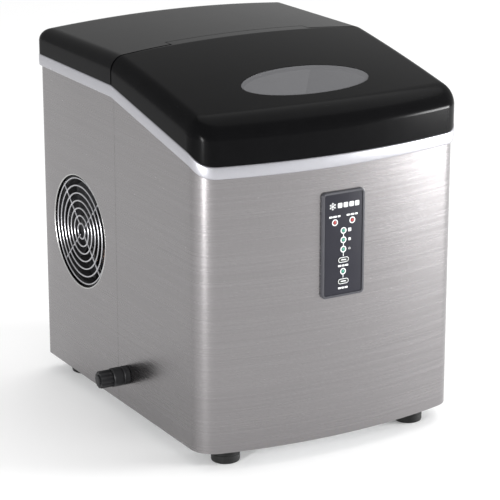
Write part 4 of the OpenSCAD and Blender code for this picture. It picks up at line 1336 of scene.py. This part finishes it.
@dataclass
class ControlPanel:
    """The upright panel on the bow: bezel, dark face, lamps, buttons and printed marks."""

    width: float = 0.047
    height: float = 0.104
    face_y: float = -0.18125
    rim: float = 0.0024
    lamp_radius: float = 0.0016
    ink: float = 0.00007
    title_z: float = 0.2495
    label_z: float = 0.2392
    bar_height: float = 0.0018
    bar_gap: float = 0.0008
    button_size: tuple[float, float] = (0.0116, 0.0052)
    button_front: float = -0.1819
    cap_depth: float = 0.0013
    red: tuple[tuple[float, float], ...] = ((-0.0096, 0.2335), (0.0096, 0.2335))
    green: tuple[tuple[float, float], ...] = ((0.0, 0.2245), (0.0, 0.2153), (0.0, 0.2061), (0.0, 0.1843))
    button_zs: tuple[float, float] = (0.1959, 0.1747)

    def build(self, shop: Workshop) -> None:
        """Makes the bezel, the face, the lamps, the buttons and the marks.

        Args:
            shop: Hands out finishes and makes the pieces.
        """
        shop.piece(self.bezel(), "panel_frame", "bezel_grey", stands_for=["panel_bezel"], sharp=50)
        face = round_plate(self.width - 2 * self.rim, self.height - 2 * self.rim, 0.0016, 0.0028, 0.0003)
        shop.piece(self.place(face, 0, self.face_y + 0.0016, PANEL_Z), "panel_face", "panel_charcoal",
                   stands_for=["panel_fascia"], sharp=50)
        shop.piece(self.lamps(self.red), "alert_lamps", "red_lamp", stands_for=["red_lamps"])
        shop.piece(self.lamps(self.green), "size_lamps", "green_lamp", stands_for=["green_lamps"])
        for name, z in zip(("select_button", "power_button"), self.button_zs):
            cap = round_plate(*self.button_size, self.cap_depth, 0.0025, 0.0004)
            cap = self.place(cap, 0, self.button_front + self.cap_depth, z)
            shop.piece(cap, name + "_cap", "panel_charcoal", name, [name], sharp=50)
            shop.piece(merge(self.button_mark(z)), name + "_mark", "printed_white", name)
        shop.piece(merge(self.marks()), "panel_print", "printed_white", sharp=50)

    @staticmethod
    def place(bm: bmesh.types.BMesh, x: float, y: float, z: float) -> bmesh.types.BMesh:
        """Moves a shape and hands it back."""
        bmesh.ops.translate(bm, vec=(x, y, z), verts=bm.verts)
        return bm

    def bezel(self) -> bmesh.types.BMesh:
        """The frame: a rounded plate with its middle sunk behind a soft rim.

        Returns:
            The closed frame.
        """
        bm = round_plate(self.width, self.height, 0.0045, 0.0045, 0.0009)
        front = self.front_face(bm)
        bmesh.ops.inset_region(bm, faces=[front], thickness=self.rim - 0.0009, depth=0.0)
        bmesh.ops.inset_region(bm, faces=[front], thickness=0.0003, depth=-0.0022)
        return self.place(bm, 0, -0.1773, PANEL_Z)

    def lamps(self, places: Sequence[tuple[float, float]]) -> bmesh.types.BMesh:
        """Domed lamp lenses.

        Args:
            places: X and Z of each lamp.

        Returns:
            All the lenses as one bmesh.
        """
        r = self.lamp_radius
        dome = [(0.0, 0.0), (r, 0.0), (r, 0.0017), (r * 0.8, 0.00195), (r * 0.45, 0.0021), (0.0, 0.0022)]
        return merge([lathe(dome, (x, self.face_y + 0.0017, z), -Y_AXIS, 24) for x, z in places])

    def plate(self, width: float, height: float, x: float, z: float, corner: float = 0.0002) -> bmesh.types.BMesh:
        """One printed mark.

        Args:
            width: Its width.
            height: Its height.
            x: Place across.
            z: Height above the floor.
            corner: Corner radius.

        Returns:
            The mark on the panel's face.
        """
        corner = min(corner, width * 0.45, height * 0.45)
        return self.place(round_plate(width, height, self.ink, corner), x, self.face_y, z)

    @staticmethod
    def front_face(bm: bmesh.types.BMesh) -> bmesh.types.BMFace:
        """The largest face that looks to the front."""
        return max(bm.faces, key=lambda f: f.calc_area() if f.normal.y < -0.9 else 0.0)

    def open_mark(
        self, size: tuple[float, float], corner: float, line: float, x: float, z: float
    ) -> bmesh.types.BMesh:
        """A printed outline with an open middle.

        Args:
            size: Its width and height.
            corner: Its corner radius.
            line: Width of the printed line.
            x: Place across.
            z: Height above the floor.

        Returns:
            The mark on the panel's face.
        """
        bm = round_plate(*size, self.ink, corner)
        front = self.front_face(bm)
        bmesh.ops.inset_region(bm, faces=[front], thickness=line, depth=0.0)
        bmesh.ops.delete(bm, geom=[front], context="FACES")
        return self.place(bm, x, self.face_y, z)

    def snowflake(self, size: float, x: float, z: float) -> list[bmesh.types.BMesh]:
        """Three crossed bars with short arms.

        Args:
            size: Its width.
            x: Place across.
            z: Height above the floor.

        Returns:
            Its six arms.
        """
        made = []
        for turn in range(6):
            angle = math.radians(60 * turn)
            arm = round_plate(size * 0.09, size * 0.5, self.ink, size * 0.03)
            bmesh.ops.translate(arm, vec=(0, 0, size * 0.25), verts=arm.verts)
            twigs = []
            for lean in (-1, 1):
                twig = round_plate(size * 0.07, size * 0.17, self.ink, size * 0.02)
                bmesh.ops.translate(twig, vec=(0, 0, size * 0.085), verts=twig.verts)
                bmesh.ops.rotate(twig, verts=twig.verts, matrix=Matrix.Rotation(lean * 0.9, 3, "Y"))
                bmesh.ops.translate(twig, vec=(0, 0, size * 0.28), verts=twig.verts)
                twigs.append(twig)
            whole = merge([arm, *twigs])
            bmesh.ops.rotate(whole, verts=whole.verts, matrix=Matrix.Rotation(angle, 3, "Y"))
            made.append(self.place(whole, x, self.face_y, z))
        return made

    def button_mark(self, z: float) -> list[bmesh.types.BMesh]:
        """A button's white outline and the bar in its middle.

        Args:
            z: Height of the button's middle.

        Returns:
            The outline and the bar.
        """
        corner = min(self.button_size) * 0.48
        parts = [self.open_mark(self.button_size, corner, 0.0006, 0, z), self.plate(0.006, 0.0011, 0, z, 0.0005)]
        return [self.place(part, 0, self.button_front - self.face_y, 0) for part in parts]

    def marks(self) -> list[bmesh.types.BMesh]:
        """Every printed pictogram: a title row, label bars, lamp rings, size cubes and guide lines.

        Returns:
            The marks, each a closed or open sheet on the face.
        """
        made: list[bmesh.types.BMesh] = []
        made += self.snowflake(0.0075, -0.0122, self.title_z)
        for x in (-0.0042, 0.0022, 0.0086, 0.0146):
            made.append(self.cube_mark(0.0048, x, self.title_z))
        for x in (-0.0096, 0.0096):
            for dx, w in ((-0.0046, 0.0036), (0.0, 0.0040), (0.0044, 0.0030)):
                made.append(self.plate(w, 0.0017, x + dx, self.label_z, 0.0004))
        for x, z in (*self.red, *self.green):
            made.append(ring_mark(self.lamp_radius + 0.0011, 0.0005, (x, self.face_y, z)))
        for size, (x, z) in zip((0.0034, 0.0027, 0.0020), self.green):
            made.append(self.cube_mark(size, 0.0068, z))
        for low, high in ((0.2183, 0.2212), (0.2091, 0.2122), (0.1992, 0.2032), (0.1780, 0.1813)):
            made.append(self.plate(0.0006, high - low, 0, (low + high) / 2))
        for z, bars in ((0.19, (0.0036, 0.0028, 0.0032)), (0.168, (0.0030, 0.0026, 0.0034))):
            x = -sum(bars) / 2 - self.bar_gap
            for w in bars:
                made.append(self.plate(w, self.bar_height, x + w / 2, z, 0.0004))
                x += w + self.bar_gap
        return made

    def cube_mark(self, size: float, x: float, z: float) -> bmesh.types.BMesh:
        """A printed ice cube: an open rounded square."""
        return self.open_mark((size, size), size * 0.18, size * 0.12, x, z)


def ring_mark(radius: float, line: float, centre: Sequence[float]) -> bmesh.types.BMesh:
    """A printed ring that faces -Y.

    Args:
        radius: Radius of the line's middle.
        line: Half of the line's width.
        centre: The ring's centre.

    Returns:
        The printed ring.
    """
    profile = [(radius - line, 0.0), (radius - line, 0.0001), (radius + line, 0.0001), (radius + line, 0.0),
               (radius - line, 0.0)]
    return lathe(profile, centre, -Y_AXIS, 32)


# ---------------------------------------------------------------- fan and drain


@dataclass
class FanSet:
    """The wire guard and the bladed rotor behind the round opening."""

    y: float = FAN_Y
    z: float = FAN_Z
    guard_x: float = -0.1406
    wire: float = 0.00085
    ring_count: int = 7
    inner_ring: float = 0.008
    outer_ring: float = 0.0547
    rotor_front: float = -0.1350
    rotor_back: float = -0.1180
    hub_radius: float = 0.017
    blade_radius: float = 0.050
    blade_count: int = 7

    def build(self, shop: Workshop) -> None:
        """Makes the guard and the rotor.

        Args:
            shop: Hands out finishes and makes the pieces.
        """
        centre = (self.guard_x, self.y, self.z)
        step = (self.outer_ring - self.inner_ring) / (self.ring_count - 1)
        rings = [ring(self.inner_ring + i * step, self.wire, centre, X_AXIS) for i in range(self.ring_count)]
        arms = []
        for angle in (45, 135, 225, 315):
            way = Vector((0, math.cos(math.radians(angle)), math.sin(math.radians(angle))))
            back = Vector(centre) + Vector((0.0013, 0, 0))
            arms.append(rod(back + way * (self.inner_ring - 0.001), back + way * 0.0595, self.wire * 1.1))
        shop.piece(merge([*rings, *arms]), "guard_wires", "bright_wire", stands_for=["fan_guard"])
        shop.piece(self.rotor(), "fan_blades", "satin_black", "fan", ["fan_rotor"])

    def rotor(self) -> bmesh.types.BMesh:
        """A domed hub with twisted blades.

        Returns:
            The hub and its blades as one bmesh.
        """
        r, front, back = self.hub_radius, self.rotor_front, self.rotor_back
        deep = back - front
        profile = [(0.0, 0.0), (r * 0.6, 0.0002), (r * 0.93, 0.0012), (r, 0.0032), (r, deep), (0.0, deep)]
        hub = lathe(profile, (front, self.y, self.z), X_AXIS)
        blades = []
        for turn in range(self.blade_count):
            bm = bmesh.new()
            bmesh.ops.create_grid(bm, x_segments=10, y_segments=12, size=1.0)
            for vert in bm.verts:
                across, out = vert.co.x, (vert.co.y + 1) / 2
                radius = self.hub_radius - 0.001 + out * (self.blade_radius - self.hub_radius + 0.001)
                half = math.radians(21 - 3 * out)
                angle = across * half + 0.35 * out + math.tau * turn / self.blade_count
                lean = across * (0.0062 - 0.0022 * out) + 0.0008 * (1 - across * across)
                vert.co = (
                    (front + back) / 2 + lean,
                    self.y + radius * math.cos(angle),
                    self.z + radius * math.sin(angle),
                )
            bmesh.ops.recalc_face_normals(bm, faces=bm.faces)
            bmesh.ops.solidify(bm, geom=bm.faces[:], thickness=0.0012)
            blades.append(bm)
        return merge([hub, *blades])


@dataclass
class DrainSet:
    """The black drain collar on the left side and its ribbed cap."""

    y: float = DRAIN_Y
    z: float = DRAIN_Z
    face_x: float = -0.143

    def build(self, shop: Workshop) -> None:
        """Makes the collar, the cap and its end disc.

        Args:
            shop: Hands out finishes and makes the pieces.
        """
        start = (self.face_x, self.y, self.z)
        collar = [(0.0040, -0.013), (0.0068, -0.013), (0.0068, 0.0), (0.0088, 0.0), (0.0095, 0.0007),
                  (0.0095, 0.0060), (0.0089, 0.0066), (0.0089, 0.0078), (0.0095, 0.0084), (0.0095, 0.0172),
                  (0.0088, 0.0180), (0.0062, 0.0180), (0.0062, 0.0272), (0.0040, 0.0272), (0.0040, -0.013)]
        shop.piece(lathe(collar, start, -X_AXIS), "drain_collar", "satin_black", stands_for=["drain_spigot"])
        shop.piece(self.cap(), "drain_knob", "satin_black", "drain_cap", ["drain_cap"], sharp=40)

    def cap(self) -> bmesh.types.BMesh:
        """A ribbed screw cap with a raised end disc.

        Returns:
            The closed cap.
        """
        outer, inner, rib, facets = 0.0080, 0.0066, 0.0005, 72
        front, back = -0.1614, -0.1744
        bm = bmesh.new()
        made = bmesh.ops.create_circle(bm, segments=facets, radius=1.0)
        for i, vert in enumerate(made["verts"]):
            radius = outer + rib * math.cos(math.tau * i / 6)
            angle = math.tau * i / facets
            vert.co = (front, self.y + radius * math.cos(angle), self.z + radius * math.sin(angle))
        rims = bm.edges[:]
        stages = ((-0.0006, 1.04), (back - front + 0.0016, 1.0), (-0.0010, 0.93), (0.0, 0.66), (-0.0013, 0.98),
                  (-0.0002, 0.85))
        for shift, size in stages:
            rims = self.draw_rim(bm, rims, shift, size)
        bmesh.ops.contextual_create(bm, geom=rims)
        rims = [e for e in bm.edges if e.is_boundary]
        for shift, size in ((0.0, inner / outer), (-0.0098, 1.0)):
            rims = self.draw_rim(bm, rims, shift, size)
        bmesh.ops.contextual_create(bm, geom=rims)
        return bm

    def draw_rim(
        self, bm: bmesh.types.BMesh, rims: Sequence[bmesh.types.BMEdge], shift: float, size: float
    ) -> list[bmesh.types.BMEdge]:
        """Draws the cap's rim on by one stage.

        Args:
            bm: The cap so far.
            rims: The rim's edges.
            shift: How far the new rim goes along X.
            size: How much wider or narrower it is.

        Returns:
            The new rim's edges.
        """
        tips, edges = pull_rim(bm, rims)
        middle = Vector((tips[0].co.x, self.y, self.z))
        bmesh.ops.scale(bm, vec=(1, size, size), space=Matrix.Translation(-middle), verts=tips)
        bmesh.ops.translate(bm, vec=(shift, 0, 0), verts=tips)
        return edges


# ---------------------------------------------------------------- studio


@dataclass
class Studio:
    """The pale floor, the soft lights and the camera."""

    eye: Colour = (-1.0976, -1.90506, 0.84799)
    look: Colour = (0.4773, 0.8259, -0.3003)
    lens: float = 163.816
    floor_size: float = 12.0
    surround: float = 0.64
    sun_power: float = 0.85
    sun_spread: float = 50.0
    sun_way: Colour = (-0.45, -0.20, -1.0)
    aim: Colour = (0.0, 0.0, 0.2)

    def build(self) -> None:
        """Places the camera first, then the floor and the lights."""
        scene = bpy.context.scene
        camera = bpy.data.cameras.new("camera")
        camera.lens, camera.sensor_width = self.lens, 36.0
        eye = bpy.data.objects.new("camera", camera)
        eye.location = self.eye
        eye.rotation_euler = Vector(self.look).to_track_quat("-Z", "Y").to_euler()
        scene.collection.objects.link(eye)
        scene.camera = eye
        scene.view_settings.view_transform = "Standard"
        self.floor()
        self.world()
        self.sun()
        self.area("side_strip", (-1.75, -1.0, 0.30), (0.10, 0.9), 42.0)
        self.area("front_box", (2.3, -1.35, 0.30), (0.9, 0.58), 140.0)

    def floor(self) -> None:
        """A broad pale floor."""
        bm = bmesh.new()
        bmesh.ops.create_grid(bm, x_segments=1, y_segments=1, size=self.floor_size)
        mesh = bpy.data.meshes.new("floor")
        bm.to_mesh(mesh)
        bm.free()
        mat = bpy.data.materials.new("pale_floor")
        mat.use_nodes = True
        shader = mat.node_tree.nodes["Principled BSDF"]
        shader.inputs["Base Color"].default_value = (0.92, 0.92, 0.92, 1)
        shader.inputs["Roughness"].default_value = 0.9
        shader.inputs["Specular IOR Level"].default_value = 0.0
        shader.inputs["Emission Color"].default_value = (1, 1, 1, 1)
        shader.inputs["Emission Strength"].default_value = 0.10
        mesh.materials.append(mat)
        floor = bpy.data.objects.new("floor", mesh)
        bpy.context.scene.collection.objects.link(floor)

    def world(self) -> None:
        """An even grey surround."""
        world = bpy.data.worlds.new("studio")
        world.use_nodes = True
        world.node_tree.nodes["Background"].inputs["Color"].default_value = (1, 1, 1, 1)
        world.node_tree.nodes["Background"].inputs["Strength"].default_value = self.surround
        bpy.context.scene.world = world

    def sun(self) -> None:
        """A very soft overhead light."""
        light = bpy.data.lights.new("overhead", "SUN")
        light.energy, light.angle = self.sun_power, math.radians(self.sun_spread)
        lamp = bpy.data.objects.new("overhead", light)
        lamp.rotation_euler = Vector(self.sun_way).to_track_quat("-Z", "Y").to_euler()
        bpy.context.scene.collection.objects.link(lamp)

    def area(self, name: str, place: Colour, size: tuple[float, float], power: float) -> None:
        """A rectangular soft light that points at the object.

        Args:
            name: The light's name.
            place: Where it stands.
            size: Its width and height.
            power: Its power in watts.
        """
        light = bpy.data.lights.new(name, "AREA")
        light.shape, light.energy = "RECTANGLE", power
        light.size, light.size_y = size
        lamp = bpy.data.objects.new(name, light)
        lamp.location = place
        way = Vector(self.aim) - Vector(place)
        lamp.rotation_euler = way.to_track_quat("-Z", "Y").to_euler()
        bpy.context.scene.collection.objects.link(lamp)


# ---------------------------------------------------------------- making it


def main() -> None:
    """Builds the studio, dresses the CAD nodes and makes every visible piece."""
    Studio().build()
    shop = Workshop()
    shop.dress_cad()
    for part in (Casing(), Covers(), ControlPanel(), FanSet(), DrainSet()):
        part.build(shop)
        log.info("finished %s", type(part).__name__)


if __name__ == "__main__":
    main()
